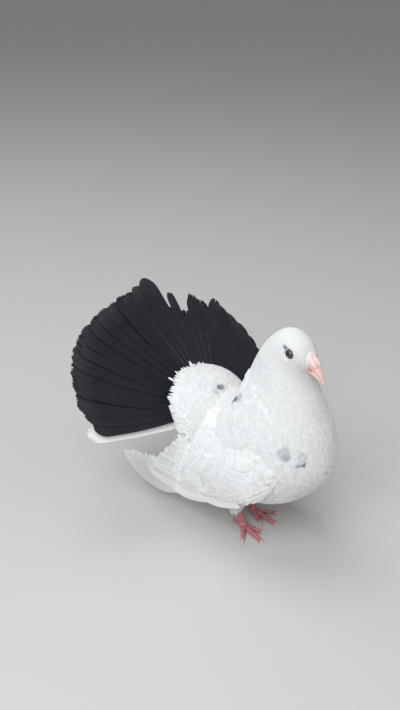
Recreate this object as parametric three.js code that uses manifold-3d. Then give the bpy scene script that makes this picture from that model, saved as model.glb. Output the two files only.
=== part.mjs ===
// Fantail pigeon: a white bird with a black tail, standing with its tail spread,
// as a life-size still model. Millimetres, +Z up. The bird faces -Y, so its left is +X.
import * as THREE from "three";
import Module from "manifold-3d";

const wasm = await Module();
wasm.setup();

// Driving sizes. Side-view places are [forward, up] from the floor between the feet.
const GAP = 0.3; // clearance between neighbouring pieces
const GROWN = 0.6; // how far a cutter stands proud of the piece that it stands for
const AROUND = 28; // sides of a body ring

// Body stations from the rump to the bill: the back point and the belly point, each [forward, up],
// then the half width, and the level of the widest place between belly and back.
const BODY = [
  [-64, 118, -70, 88, 20, 0.5],
  [-56, 123, -64, 66, 33, 0.5],
  [-42, 127, -48, 46, 41, 0.5],
  [-28, 130, -24, 37, 46, 0.5],
  [-19, 134, 2, 35, 49, 0.5],
  [-14, 140, 30, 43, 50, 0.5],
  [-11, 147, 56, 59, 48, 0.48],
  [-9, 155, 76, 84, 43, 0.46],
  [-8, 163, 84, 105, 37, 0.45],
  [-6, 171, 80, 130, 30.5, 0.45],
  [-3, 180, 71, 149, 25, 0.46],
  [2, 190, 63, 163, 21, 0.5],
  [8, 199, 57, 172, 18, 0.52],
  [15, 207, 54, 179, 15.8, 0.55],
  [24, 213.5, 53, 183, 14.4, 0.52],
  [34, 216, 54, 185.5, 13.2, 0.5],
  [43, 213.5, 56, 187.5, 11.2, 0.5],
  [50.5, 208.5, 57.5, 188.5, 8.8, 0.5],
  [55.5, 203, 58, 189, 6, 0.5],
];
const NECK_BASE = 8.5; // station where the neck leaves the torso
const HEAD_BASE = 12.5; // station where the head leaves the neck

// Eyes, lids and bill.
const EYE = { at: [42.5, 10.9, 200], radius: 4.3 }; // [forward, outward, up]
const LID = { radius: 4.2, tube: 0.85, out: 2.6, high: 0.92, bulge: 1.3 };
const UPPER_BILL = { base: [54, 194.6], bend: [65.5, 192.5], tip: [71.6, 180.8], wide: 4, high: 3.6 };
const LOWER_BILL = { base: [53, 188.6], bend: [61.5, 187], tip: [68.8, 181.2], wide: 3.6, high: 2.7 };
const BILL_ROWS = [0, 0.2, 0.4, 0.6, 0.75, 0.88, 1];
const BILL_SIDES = 12;
const BILL_TAPER = { share: 0.9, power: 1.6 }; // share of its size that a bill half loses to its tip
const LIP_GAP = 0.4; // clearance between the halves of the bill
const CERE = { at: [60.2, 2, 196.8], size: [4.6, 2.5, 2.2], droop: 0.72 }; // size: long, wide, high
const NOSTRIL = { ahead: 2.2, out: 2, down: 1.6, size: [0.9, 2.1, 0.5], droop: 0.97 };

// Tail fan: a shallow cone of feathers about an apex inside the rump.
const FAN = {
  apex: [-55, 99], // forward, up
  lean: 45, // degrees that the fan leans back from upright
  swing: 15, // degrees that it swings to the bird's right
  roll: -9, // degrees that it rolls about its front normal
  cone: 98, // degrees between a feather and the fan's front normal
  spread: 75, // degrees from the middle to the outermost black feather
  halfWidth: 15,
  tilt: 0.18, // rise of a feather across its width
  root: 42,
  plate: [8, 52, 2.6], // inner and outer radius and half thickness of the fleshy tail base
  clear: 4.2, // half thickness of the space that the fan keeps
  reach: 162, // radius of that space
  turnOver: 8, // degrees from the middle within which the feathers' tilt changes side
};
// Lengths of the tail feathers from the bird's right to its left, evenly spread.
const LENGTHS = [
  141, 142, 145, 149, 150, 151, 149, 146, 144, 144, 145, 145, 147, 150,
  153, 143, 137, 135, 138, 142, 146, 139, 137, 134, 130, 127, 125, 123,
];
// The white outermost feather: degrees from the middle, how far it lies below the apex,
// distances of root and tip, half width, height off the fan, thickness.
const WHITE_FEATHER = { angle: -78, low: 4.5, root: 14, length: 141, halfWidth: 9, height: -4.8, thick: 0.9 };
// The cushions of coverts, in the fan's axes: to the left, along the middle feather, to the front.
const COVERTS = { centre: [-9.5, 3, 2], size: [44.5, 43, 29] };
const UNDERTAIL = { centre: [0, 4, -3], size: [34, 34, 24] };
// Tiers of feathers round the tail base: how many, spread to each side in degrees, half width,
// then distance from the apex and height above the fan at the root and at the tip.
const COVERT_TIERS = [
  [11, 95, 10.5, 37, 10, 54, 6],
  [7, 90, 12, 29, 18, 46, 12],
];
const UNDERTAIL_TIERS = [[5, 52, 12, 32, -12, 48, -6.5]];
const COVERT_SHIFT = [-8, 1]; // the middle of the tiers, to the left and along the middle feather

// Wings, from the fold of the wing to the tip: forward place, level of the widest place, half height
// and half width of the flank there, then the lower and upper edges of the right and the left wing.
const WING = [
  [68, 90, 48, 33, 88, 104, 88, 104],
  [61, 88, 52, 39.5, 74, 113, 71, 112],
  [48, 84, 57, 46, 62, 121, 52, 119],
  [30, 80, 62, 50, 54, 124, 32, 119],
  [10, 74, 67, 52, 46, 125, 16, 118],
  [-8, 68, 72, 52, 38, 124, 8, 116],
  [-30, 62, 74, 52.5, 28, 119, 7, 111],
  [-50, 56, 74, 55, 21, 104, 6.5, 97],
  [-66, 50, 72, 57, 16, 84, 6, 77],
  [-82, 44, 68, 58, 12, 66, 6, 60],
  [-100, 36, 62, 56, 8.5, 54, 6, 48],
  [-118, 30, 56, 53.5, 8, 48, 6, 43],
  [-142, 26, 52, 51, 14, 42, 12, 37],
];
const PAD_END = 8; // last row of the fleshy pad of the wing
const PAD = {
  // heights off the flank's sheet
  outer: 5,
  sunk: -4,
  inner: -9,
  rear: 1.2,
  // forward places where it starts to swell in and to thin out, and how far each takes
  swellFrom: 68,
  swellOver: 30,
  taperFrom: -15,
  taperOver: 50,
};
const WING_SPACE = { outer: 9, inner: -12, margin: 3, front: [70, 86, 106], rear: [-148, 14, 42] };
// Tiers of wing feathers, from the lowest feather up: how many, half width, thickness, the root's place
// [forward, up, height] and its step to the next feather, the tip's place and its step, and the bow.
const PRIMARIES = {
  count: 7,
  half: 9,
  thick: 1,
  root: [-38, 40, -2],
  rootStep: [0, 5, 0],
  tip: [-142, 29, 0],
  tipStep: [9.2, 3.7, 0],
  bow: -15,
};
const SECONDARIES = {
  count: 6,
  half: 10,
  thick: 1,
  root: [-4, 48, 0],
  rootStep: [0, 9.5, 0],
  tip: [-88, 38, 1.6],
  tipStep: [7.6, 10.6, 0],
  bow: -4,
};
const GREATER_COVERTS = {
  count: 6,
  half: 10.5,
  thick: 1.2,
  root: [0, 50, 1.5],
  rootStep: [0, 10.5, 0],
  tip: [-50, 33, 5],
  tipStep: [3.4, 13.2, 0],
  bow: -3,
};
const MEDIAN_COVERTS = {
  count: 5,
  half: 11.5,
  thick: 1.2,
  root: [30, 60, 2],
  rootStep: [0, 10, 0],
  tip: [-15, 46, 6.3],
  tipStep: [2, 14.5, 0],
  bow: -2,
};
const WING_TIERS = [PRIMARIES, SECONDARIES, GREATER_COVERTS, MEDIAN_COVERTS];
const WING_VANE = { roll: -0.12, arch: 0.05, root: 0.5 };

// Legs and feet.
const STANCE = 11.7; // half the distance between the feet
const STEP = 6; // how far the right foot stands ahead of the middle, and the left one behind it
// Places are [forward, up]; spread is how far the upper end lies outward of the foot.
const SHANK = { foot: [-5.5, 4.5], hock: [-22, 40], spread: 7, radius: 3.1, flare: 0.6, sunk: 1.5, cut: 24 };
const BALL = { size: [4.2, 4.6, 3.4], up: 2.6 };
const THIGH = { hip: [2, 62], spread: 8, radius: 15, end: 6, share: 0.4 }; // share of the shank it covers
const TOES = [
  // name, bearing outward from forward in degrees, length, radius
  ["inner", -22, 19, 2.6],
  ["middle", 6, 28, 2.8],
  ["outer", 43, 22, 2.5],
  ["hind", 172, 13, 2.3],
];
const TOE = { taper: 0.32, waist: 0.9, flat: 0.95, drop: 0.5 };
const CLAW = { length: 6.5, radius: 1.15, taper: 0.82, low: 0.5, bend: 0.9 };
const SOLE = 0.35; // how far the toes are flattened on the floor

const WHITE = new THREE.MeshStandardMaterial({ color: 0xf2f0ea, roughness: 0.85 });
const BLACK = new THREE.MeshStandardMaterial({ color: 0x1b1d24, roughness: 0.55 });
const BILL = new THREE.MeshStandardMaterial({ color: 0xe6b3a8, roughness: 0.5 });
const CERE_SKIN = new THREE.MeshStandardMaterial({ color: 0xf0dcd2, roughness: 0.8 });
const LEG = new THREE.MeshStandardMaterial({ color: 0xc05a66, roughness: 0.6 });
const HORN = new THREE.MeshStandardMaterial({ color: 0xd8c4b4, roughness: 0.4 });
const EYE_DARK = new THREE.MeshStandardMaterial({ color: 0x120c0a, roughness: 0.08 });

const rad = THREE.MathUtils.degToRad;
const place = (forward, left, up) => new THREE.Vector3(left, -forward, up);

// A closed solid from points and triangles, turned so that its faces point out.
function solid(points, faces) {
  const vertProperties = Float32Array.from(points.flatMap((p) => [p.x, p.y, p.z]));
  const make = (list) =>
    new wasm.Manifold(new wasm.Mesh({ numProp: 3, vertProperties, triVerts: Uint32Array.from(list.flat()) }));
  const made = make(faces);
  return made.volume() > 0 ? made : make(faces.map(([a, b, c]) => [a, c, b]));
}

// A closed tube through rings of points, with a middle point on each end.
function tube(rings) {
  const around = rings[0].length;
  const points = rings.flat();
  const faces = [];
  for (let i = 0; i < rings.length - 1; i++) {
    for (let j = 0; j < around; j++) {
      const [a, b] = [i * around + j, i * around + ((j + 1) % around)];
      faces.push([a, b, b + around], [a, b + around, a + around]);
    }
  }
  const middle = (ring) => ring.reduce((sum, p) => sum.add(p), new THREE.Vector3()).divideScalar(around);
  points.push(middle(rings[0]), middle(rings.at(-1)));
  const last = (rings.length - 1) * around;
  for (let j = 0; j < around; j++) {
    const next = (j + 1) % around;
    faces.push([next, j, points.length - 2], [last + j, last + next, points.length - 1]);
  }
  return solid(points, faces);
}

// A closed slab between two grids of points, split into triangles alike on both faces.
function slab(outer, inner) {
  const [rows, cols] = [outer.length, outer[0].length];
  const size = rows * cols;
  const at = (i, j) => i * cols + j;
  const faces = [];
  for (let i = 0; i < rows - 1; i++) {
    for (let j = 0; j < cols - 1; j++) {
      const [a, b, c, d] = [at(i, j), at(i, j + 1), at(i + 1, j + 1), at(i + 1, j)];
      faces.push([a, b, c], [a, c, d], [size + a, size + c, size + b], [size + a, size + d, size + c]);
    }
  }
  const rim = [];
  for (let j = 0; j < cols - 1; j++) rim.push(at(0, j));
  for (let i = 0; i < rows - 1; i++) rim.push(at(i, cols - 1));
  for (let j = cols - 1; j > 0; j--) rim.push(at(rows - 1, j));
  for (let i = rows - 1; i > 0; i--) rim.push(at(i, 0));
  rim.forEach((a, k) => {
    const b = rim[(k + 1) % rim.length];
    faces.push([b, a, size + a], [b, size + a, size + b]);
  });
  return solid([...outer.flat(), ...inner.flat()], faces);
}

const union = (list) => wasm.Manifold.union(list);
const largest = (made) => made.decompose().sort((a, b) => b.volume() - a.volume())[0];

// Catmull-Rom through rows of numbers; t counts rows.
function spline(rows, t) {
  const last = rows.length - 1;
  const i = Math.min(Math.max(Math.floor(t), 0), last - 1);
  const u = t - i;
  const row = (k) => rows[Math.min(Math.max(k, 0), last)];
  return rows[i].map((b, c) => {
    const [a, d, e] = [row(i - 1)[c], row(i + 1)[c], row(i + 2)[c]];
    return b + 0.5 * u * (d - a + u * (2 * a - 5 * b + 4 * d - e + u * (3 * (b - d) + e - a)));
  });
}

// Rows looked up by their first column, which falls from row to row.
function lookUp(rows, key) {
  let i = 0;
  while (i < rows.length - 2 && key < rows[i + 1][0]) i++;
  const share = (key - rows[i][0]) / (rows[i + 1][0] - rows[i][0]);
  return spline(rows, i + share).slice(1);
}

// An ellipsoid of three radii, turned by a matrix that also places it.
function ellipsoid(radii, matrix, around = 20, rows = 12) {
  const rings = [];
  for (let i = 1; i < rows; i++) {
    const v = Math.PI * (i / rows);
    rings.push(
      Array.from({ length: around }, (_, j) => {
        const u = 2 * Math.PI * (j / around);
        const unit = [Math.sin(v) * Math.cos(u), Math.sin(v) * Math.sin(u), Math.cos(v)];
        return new THREE.Vector3(...unit.map((x, k) => x * radii[k])).applyMatrix4(matrix);
      }),
    );
  }
  return tube(rings);
}

// Body
// One planar ring of the body: an ellipse that is split at its widest level.
function bodyRing(t, grow = 0) {
  const [backF, backZ, bellyF, bellyZ, half, level] = spline(BODY, t);
  const [back, belly] = [place(backF, 0, backZ), place(bellyF, 0, bellyZ)];
  const up = back.clone().sub(belly).normalize();
  back.addScaledVector(up, grow);
  belly.addScaledVector(up, -grow);
  const middle = belly.clone().lerp(back, level);
  return Array.from({ length: AROUND }, (_, j) => {
    const turn = 2 * Math.PI * (j / AROUND);
    const end = Math.sin(turn) > 0 ? back : belly;
    const p = middle.clone().lerp(end, Math.abs(Math.sin(turn)));
    return p.add(new THREE.Vector3((half + grow) * Math.cos(turn), 0, 0));
  });
}

// The direction in which the body's rings follow one another at a station.
function ringNormal(t) {
  const [backF, backZ, bellyF, bellyZ] = spline(BODY, t);
  const up = place(backF, 0, backZ).sub(place(bellyF, 0, bellyZ)).normalize();
  return new THREE.Vector3(1, 0, 0).cross(up).normalize();
}

// The body between two stations; its first ring keeps the gap to the piece before it.
function bodyPart(from, to, step, gap = 0, grow = 0, past = 0) {
  const count = Math.round((to - from) / step);
  const rings = [];
  for (let i = 0; i <= count; i++) rings.push(bodyRing(from + ((to - from) * i) / count, grow));
  const shift = ringNormal(from).multiplyScalar(gap);
  rings[0].forEach((p) => p.add(shift));
  const end = ringNormal(to).multiplyScalar(past);
  rings.at(-1).forEach((p) => p.add(end));
  return tube(rings);
}

const torso = bodyPart(0, NECK_BASE, 0.5);
const grownBody = bodyPart(0, BODY.length - 1, 0.5, -GROWN, GROWN, GROWN);

function eyeBall(side, radius) {
  const centre = place(EYE.at[0], side * EYE.at[1], EYE.at[2]);
  return ellipsoid([radius, radius, radius], new THREE.Matrix4().setPosition(centre), 14, 7);
}

// The rim of the lids: a ring that lies round the eye on the side of the head.
function lids(side) {
  const [steps, sides] = [16, 6];
  const centre = place(EYE.at[0], side * (EYE.at[1] + LID.out), EYE.at[2]);
  const points = [];
  const faces = [];
  for (let i = 0; i < steps; i++) {
    const turn = 2 * Math.PI * (i / steps);
    const out = place(Math.cos(turn), 0, Math.sin(turn) * LID.high);
    for (let j = 0; j < sides; j++) {
      const around = 2 * Math.PI * (j / sides);
      const lift = new THREE.Vector3(side * LID.tube * LID.bulge * Math.sin(around), 0, 0);
      points.push(centre.clone().addScaledVector(out, LID.radius + LID.tube * Math.cos(around)).add(lift));
      const [a, b] = [i * sides + j, i * sides + ((j + 1) % sides)];
      const [c, d] = [a, b].map((k) => (k + sides) % (steps * sides));
      faces.push([a, b, d], [a, d, c]);
    }
  }
  return solid(points, faces);
}

const neck = bodyPart(NECK_BASE, HEAD_BASE, 0.5, GAP);
const headBlank = bodyPart(HEAD_BASE, BODY.length - 1, 0.5, GAP);
const sockets = union([1, -1].map((side) => eyeBall(side, EYE.radius + GAP)));
const head = largest(union([headBlank, lids(1), lids(-1)]).subtract(sockets));

// Bill
// One half of the bill: a tapered tube along a bent line.
function mandible({ base, bend, tip, wide, high }, grow = 0) {
  const points = [base, bend, tip].map(([forward, up]) => place(forward, 0, up));
  const line = new THREE.QuadraticBezierCurve3(...points);
  const rings = BILL_ROWS.map((s) => {
    const centre = line.getPoint(s);
    const up = new THREE.Vector3(1, 0, 0).cross(line.getTangent(s)).normalize();
    const taper = 1 - BILL_TAPER.share * s ** BILL_TAPER.power;
    return Array.from({ length: BILL_SIDES }, (_, j) => {
      const turn = 2 * Math.PI * (j / BILL_SIDES);
      return centre
        .clone()
        .add(new THREE.Vector3((wide * taper + grow) * Math.cos(turn), 0, 0))
        .addScaledVector(up, (high * taper + grow) * Math.sin(turn));
    });
  });
  return tube(rings);
}

function cereLobe(side) {
  const turn = new THREE.Matrix4().makeRotationX(CERE.droop);
  turn.setPosition(place(CERE.at[0], side * CERE.at[1], CERE.at[2]));
  const [length, width, height] = CERE.size;
  return ellipsoid([width, length, height], turn, 12, 6);
}

function nostril(side) {
  const turn = new THREE.Matrix4().makeRotationX(NOSTRIL.droop);
  const [forward, outward, up] = CERE.at;
  turn.setPosition(place(forward + NOSTRIL.ahead, side * (outward + NOSTRIL.out), up - NOSTRIL.down));
  return ellipsoid(NOSTRIL.size, turn, 10, 6);
}

const nostrils = union([nostril(1), nostril(-1)]);
const billSpace = union([grownBody, mandible(UPPER_BILL, GAP)]);
const upperBill = largest(mandible(UPPER_BILL).subtract(grownBody).subtract(nostrils));
const lowerBill = largest(mandible(LOWER_BILL).subtract(grownBody).subtract(mandible(UPPER_BILL, LIP_GAP)));
const cere = largest(union([cereLobe(1), cereLobe(-1)]).subtract(billSpace).subtract(nostrils));

// Feathers
const VANE_ROWS = [0, 0.42, 0.72, 0.92, 1];
const SHORT_ROWS = [0, 0.5, 0.88, 1];
const TIP_ROWS = [0, 0.5, 0.9, 1];
// Shares of a vane's length where it reaches its full width and where its tip starts to round off.
const POINTED = { fullAt: 0.62, roundFrom: 0.66, roundOver: 0.355 };
const BLUNT = { fullAt: 0.7, roundFrom: 0.8, roundOver: 0.25 };
const SPINE_EDGE = 0.5; // share of a vane's thickness to each side of its middle line
const RIM_EDGE = 0.32; // the same at its rims

// Half width along a vane: narrow at the root, then full, and rounded off at the tip.
function outline(s, full, root, { fullAt, roundFrom, roundOver }) {
  const grown = root + (1 - root) * Math.sin((Math.min(s, fullAt) / fullAt) * (Math.PI / 2));
  const past = Math.max(0, (s - roundFrom) / roundOver);
  return full * grown * Math.sqrt(1 - past * past);
}

// A feather's vane on a sheet: a thin strip, arched across and rolled, along line(s) = [a, b, height].
function vane(sheet, line, full, shape) {
  const { thick = 0.9, arch = 0.1, roll = 0, root = 0.35, rows = VANE_ROWS, tip = POINTED } = shape;
  const near = 0.02;
  const faceAt = (sign) =>
    rows.map((s) => {
      const [a, b, h] = line(s);
      const [a0, b0] = line(Math.max(s - near, 0));
      const [a1, b1] = line(Math.min(s + near, 1));
      const size = Math.hypot(a1 - a0, b1 - b0);
      const across = [(b1 - b0) / size, -(a1 - a0) / size];
      const half = outline(s, full, root, tip);
      return [-1, 0, 1].map((k) => {
        const edge = thick * (k === 0 ? SPINE_EDGE : RIM_EDGE);
        const height = h - arch * half * k * k + roll * half * k + sign * edge;
        return sheet(a + across[0] * half * k, b + across[1] * half * k, height);
      });
    });
  return slab(faceAt(1), faceAt(-1));
}

// Tail fan
const fanAxes = (() => {
  const lean = rad(FAN.lean);
  const swing = new THREE.Matrix4().makeRotationZ(rad(FAN.swing));
  const front = place(Math.cos(lean), 0, Math.sin(lean)).applyMatrix4(swing);
  const roll = new THREE.Matrix4().makeRotationAxis(front, rad(FAN.roll));
  const middle = place(-Math.sin(lean), 0, Math.cos(lean)).applyMatrix4(swing).applyMatrix4(roll);
  const side = place(0, 1, 0).applyMatrix4(swing).applyMatrix4(roll);
  return { front, middle, side, apex: place(FAN.apex[0], 0, FAN.apex[1]) };
})();

// The fan's sheet: x to the bird's left, y along the middle feather, height towards the front.
function fanSheet(x, y, height) {
  const { front, middle, side, apex } = fanAxes;
  const reach = Math.hypot(x, y);
  const cone = rad(FAN.cone);
  const spoke = side
    .clone()
    .multiplyScalar(x / reach)
    .addScaledVector(middle, y / reach);
  return apex
    .clone()
    .addScaledVector(spoke, reach * Math.sin(cone) - height * Math.cos(cone))
    .addScaledVector(front, reach * Math.cos(cone) + height * Math.sin(cone));
}

// A sector of the fan as a slab between two heights.
function fanSector(inner, outer, spread, low, high, rings) {
  const spokes = outer.length - 1;
  const grid = (height) =>
    Array.from({ length: rings + 1 }, (_, i) =>
      outer.map((end, j) => {
        const reach = inner + ((end - inner) * i) / rings;
        const turn = rad(spread * ((2 * j) / spokes - 1));
        return fanSheet(reach * Math.sin(turn), reach * Math.cos(turn), height);
      }),
    );
  return slab(grid(high), grid(low));
}

const evenly = (count, value) => Array.from({ length: count }, () => value);
const fanSpace = fanSector(0.5, evenly(33, FAN.reach), 181, -FAN.clear, FAN.clear, 2);

function tailPlate() {
  const [inner, outer, half] = FAN.plate;
  return fanSector(inner, evenly(17, outer), FAN.spread + 2, -half, half, 2);
}

// Wings
// The wing's sheet: a forward, b up (both as on the right wing), height outward from the flank.
function wingSheet(side) {
  return (a, b, height) => {
    const [middle, half, wide, lower, upper, leftLower, leftUpper] = lookUp(WING, a);
    const level = Math.min(Math.abs((b - middle) / half), 0.97);
    const outward = wide * Math.sqrt(1 - level * level) + height;
    const share = (b - lower) / (upper - lower);
    const up = side > 0 ? leftLower + share * (leftUpper - leftLower) : b;
    return place(a, side * outward, up);
  };
}

// A slab of the wing between two heights, over some rows of the table.
function wingSlab(side, rows, heightAt, margin = 0) {
  const sheet = wingSheet(side);
  const grid = (outer) =>
    rows.map(([a, , , , lower, upper]) =>
      [0, 0.2, 0.4, 0.6, 0.8, 1].map((v) =>
        sheet(a, lower - margin + (upper - lower + 2 * margin) * v, heightAt(a, v, outer)),
      ),
    );
  return slab(grid(true), grid(false));
}

// The pad's faces: the outer one swells in from the fold of the wing, and both thin towards the rear.
function padHeight(a, v, outer) {
  const { smoothstep, lerp } = THREE.MathUtils;
  const thin = smoothstep(PAD.taperFrom - a, 0, PAD.taperOver);
  const front = smoothstep(PAD.swellFrom - a, 0, PAD.swellOver);
  const swell = lerp(PAD.sunk, PAD.outer, front * (1 - (2 * v - 1) ** 4));
  return outer ? lerp(swell, PAD.rear, thin) : lerp(PAD.inner, -PAD.rear, thin);
}

// One tier of feathers, each bowed towards the wing's lower edge.
function wingFeathers(side, { count, half, thick, root, rootStep, tip, tipStep, bow }) {
  const sheet = wingSheet(side);
  return Array.from({ length: count }, (_, i) => {
    const from = root.map((x, k) => x + rootStep[k] * i);
    const to = tip.map((x, k) => x + tipStep[k] * i);
    const line = (s) => {
      const [a, b, h] = from.map((x, k) => x + (to[k] - x) * s);
      return [a, b + bow * 4 * s * (1 - s), h];
    };
    return vane(sheet, line, half, { ...WING_VANE, thick, rows: SHORT_ROWS });
  });
}

function wing(side) {
  const pad = wingSlab(side, WING.slice(0, PAD_END + 1), padHeight);
  return union([pad, ...WING_TIERS.flatMap((tier) => wingFeathers(side, tier))]);
}

// The space that a wing keeps clear of the pieces round it.
function wingSpace(side) {
  const endRow = ([a, lower, upper]) => [a, 0, 0, 0, lower, upper];
  const rows = [endRow(WING_SPACE.front), ...WING, endRow(WING_SPACE.rear)];
  const heightAt = (a, v, outer) => (outer ? WING_SPACE.outer : WING_SPACE.inner);
  return wingSlab(side, rows, heightAt, WING_SPACE.margin);
}

const wingSpaces = union([wingSpace(1), wingSpace(-1)]);

// Tail coverts: the white cushion in front of the fan, and the feathers under it.
function fanEllipsoid({ centre, size }) {
  const { front, middle, side, apex } = fanAxes;
  const [x, y, h] = centre;
  const at = apex.clone().addScaledVector(side, x).addScaledVector(middle, y).addScaledVector(front, h);
  const turn = new THREE.Matrix4().makeBasis(side, middle, front).setPosition(at);
  return ellipsoid(size, turn, 18, 9);
}

function outerFeather(grow = 0) {
  const { angle, low, root, length, halfWidth, height, thick } = WHITE_FEATHER;
  const turn = rad(angle);
  const line = (s) => {
    const reach = root - grow + (length - root + 2 * grow) * s;
    return [reach * Math.sin(turn), reach * Math.cos(turn) - low, height];
  };
  return vane(fanSheet, line, halfWidth + grow, { thick: thick + 2 * grow, arch: 0 });
}

// One feather of the fan: the edge away from the middle lies in front of its neighbour.
function fanFeather(length, index) {
  const angle = FAN.spread * ((2 * index) / (LENGTHS.length - 1) - 1);
  const turn = rad(angle);
  const line = (s) => {
    const reach = FAN.root + (length - FAN.root) * s;
    return [reach * Math.sin(turn), reach * Math.cos(turn), 0];
  };
  const roll = FAN.tilt * THREE.MathUtils.clamp(angle / FAN.turnOver, -1, 1);
  return vane(fanSheet, line, FAN.halfWidth, { roll, arch: 0.03, rows: TIP_ROWS, tip: BLUNT });
}

// A ring of short feathers that lie on the fan, or under it.
function ruff(tiers) {
  const [x, y] = COVERT_SHIFT;
  return tiers.flatMap(([count, spread, half, near, low, far, high]) =>
    Array.from({ length: count }, (_, i) => {
      const turn = rad(spread * ((2 * i) / (count - 1) - 1));
      const line = (s) => {
        const reach = near + (far - near) * s;
        return [reach * Math.sin(turn) + x, reach * Math.cos(turn) + y, low + (high - low) * s];
      };
      return vane(fanSheet, line, half, { thick: 1.2, arch: 0.12, root: 0.6, rows: SHORT_ROWS });
    }),
  );
}

const tail = largest(union([tailPlate(), ...LENGTHS.map(fanFeather)]).subtract(grownBody));
const outer = largest(outerFeather().subtract(grownBody));
const coverSpaces = union([fanSpace, grownBody, wingSpaces, outerFeather(GROWN)]);
const coverts = largest(union([fanEllipsoid(COVERTS), ...ruff(COVERT_TIERS)]).subtract(coverSpaces));
const undertail = largest(union([fanEllipsoid(UNDERTAIL), ...ruff(UNDERTAIL_TIERS)]).subtract(coverSpaces));

// Legs
// A tapered tube along a straight line.
function limb(from, to, first, last, around = 14, rows = 5) {
  const along = to.clone().sub(from).normalize();
  const across = new THREE.Vector3(1, 0, 0);
  const up = across.clone().cross(along).normalize();
  const rings = Array.from({ length: rows + 1 }, (_, i) => {
    const centre = from.clone().lerp(to, i / rows);
    const radius = first + (last - first) * (i / rows);
    return Array.from({ length: around }, (_, j) => {
      const turn = 2 * Math.PI * (j / around);
      return centre
        .clone()
        .addScaledVector(across, radius * Math.cos(turn))
        .addScaledVector(up, radius * Math.sin(turn));
    });
  });
  return tube(rings);
}

const above = (made, level) => made.trimByPlane([0, 0, 1], level);
const below = (made, level) => made.trimByPlane([0, 0, -1], -level);

// The forward place of a foot's ball.
const footAhead = (side) => SHANK.foot[0] - side * STEP;
const hockAt = (side) => place(SHANK.hock[0] - side * STEP, side * (STANCE + SHANK.spread), SHANK.hock[1]);
const ballAt = (side, up) => place(footAhead(side), side * STANCE, up);

function thigh(side) {
  const hip = place(THIGH.hip[0] - side * STEP, side * (STANCE + THIGH.spread), THIGH.hip[1]);
  const end = ballAt(side, SHANK.foot[1]).lerp(hockAt(side), THIGH.share);
  const made = limb(hip, end, THIGH.radius, THIGH.end, 16, 6);
  return largest(above(made, SHANK.cut).subtract(grownBody).subtract(wingSpaces));
}

const TOE_ROWS = [-0.08, 0.2, 0.4, 0.6, 0.8, 1];
const CLAW_ROWS = [0, 0.25, 0.5, 0.75, 1];
const TOE_SIDES = 8;

// A toe from the ball of the foot, thicker at every second row for its joints.
function toe(side, [, bearing, length, radius]) {
  const turn = rad(bearing);
  const from = ballAt(side, radius - SOLE);
  const [ahead, aside] = [Math.cos(turn) * length, side * Math.sin(turn) * length];
  const reach = (s) => place(ahead * s, aside * s, -TOE.drop * s * s);
  const across = place(-Math.sin(turn), side * Math.cos(turn), 0);
  const rings = TOE_ROWS.map((s, i) => {
    const centre = from.clone().add(reach(s));
    const size = radius * (1 - TOE.taper * s) * (i % 2 ? 1 : TOE.waist);
    return Array.from({ length: TOE_SIDES }, (_, j) => {
      const around = 2 * Math.PI * (j / TOE_SIDES);
      return centre
        .clone()
        .addScaledVector(across, size * Math.cos(around))
        .add(new THREE.Vector3(0, 0, size * TOE.flat * Math.sin(around)));
    });
  });
  return tube(rings);
}

// A claw that starts one gap past the end of its toe and bends down.
function claw(side, [, bearing, length, radius]) {
  const turn = rad(bearing);
  const ahead = place(Math.cos(turn), side * Math.sin(turn), 0);
  const across = place(-Math.sin(turn), side * Math.cos(turn), 0);
  const from = ballAt(side, radius - SOLE - CLAW.low).addScaledVector(ahead, length + GAP);
  const rings = CLAW_ROWS.map((s) => {
    const centre = from
      .clone()
      .addScaledVector(ahead, CLAW.length * s)
      .add(new THREE.Vector3(0, 0, CLAW.low * s - (from.z + 0.1) * CLAW.bend * s * s));
    const size = CLAW.radius * (1 - CLAW.taper * s);
    return Array.from({ length: TOE_SIDES }, (_, j) => {
      const around = 2 * Math.PI * (j / TOE_SIDES);
      return centre
        .clone()
        .addScaledVector(across, size * Math.cos(around))
        .add(new THREE.Vector3(0, 0, size * Math.sin(around)));
    });
  });
  return above(tube(rings), 0);
}

function foot(side) {
  const from = ballAt(side, SHANK.foot[1] - SHANK.sunk);
  const shank = limb(from, hockAt(side), SHANK.radius + SHANK.flare, SHANK.radius, 12, 4);
  const pad = ellipsoid(BALL.size, new THREE.Matrix4().setPosition(ballAt(side, BALL.up)), 10, 6);
  const made = union([shank, pad, ...TOES.map((t) => toe(side, t))]);
  return largest(below(above(made, 0), SHANK.cut - GAP));
}

// Assembly
const bird = new THREE.Group();

function addNode(name, made, material) {
  const mesh = made.getMesh();
  const geometry = new THREE.BufferGeometry();
  geometry.setAttribute("position", new THREE.BufferAttribute(Float32Array.from(mesh.vertProperties), 3));
  geometry.setIndex(new THREE.BufferAttribute(Uint32Array.from(mesh.triVerts), 1));
  geometry.computeVertexNormals();
  const node = new THREE.Mesh(geometry, material);
  node.name = name;
  bird.add(node);
}

addNode("torso", torso, WHITE);
addNode("neck", neck, WHITE);
addNode("head", head, WHITE);
addNode("upper_bill", upperBill, BILL);
addNode("lower_bill", lowerBill, BILL);
addNode("cere", cere, CERE_SKIN);
addNode("tail_fan", tail, BLACK);
addNode("tail_outer_feather", outer, WHITE);
addNode("tail_coverts", coverts, WHITE);
addNode("undertail_coverts", undertail, WHITE);
for (const [name, side] of [["left", 1], ["right", -1]]) {
  addNode(`eye_${name}`, eyeBall(side, EYE.radius), EYE_DARK);
  addNode(`wing_${name}`, largest(wing(side).subtract(grownBody).subtract(outerFeather(GROWN))), WHITE);
  addNode(`thigh_${name}`, thigh(side), WHITE);
  addNode(`foot_${name}`, foot(side), LEG);
  for (const t of TOES) addNode(`claw_${name}_${t[0]}`, claw(side, t), HORN);
}

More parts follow.
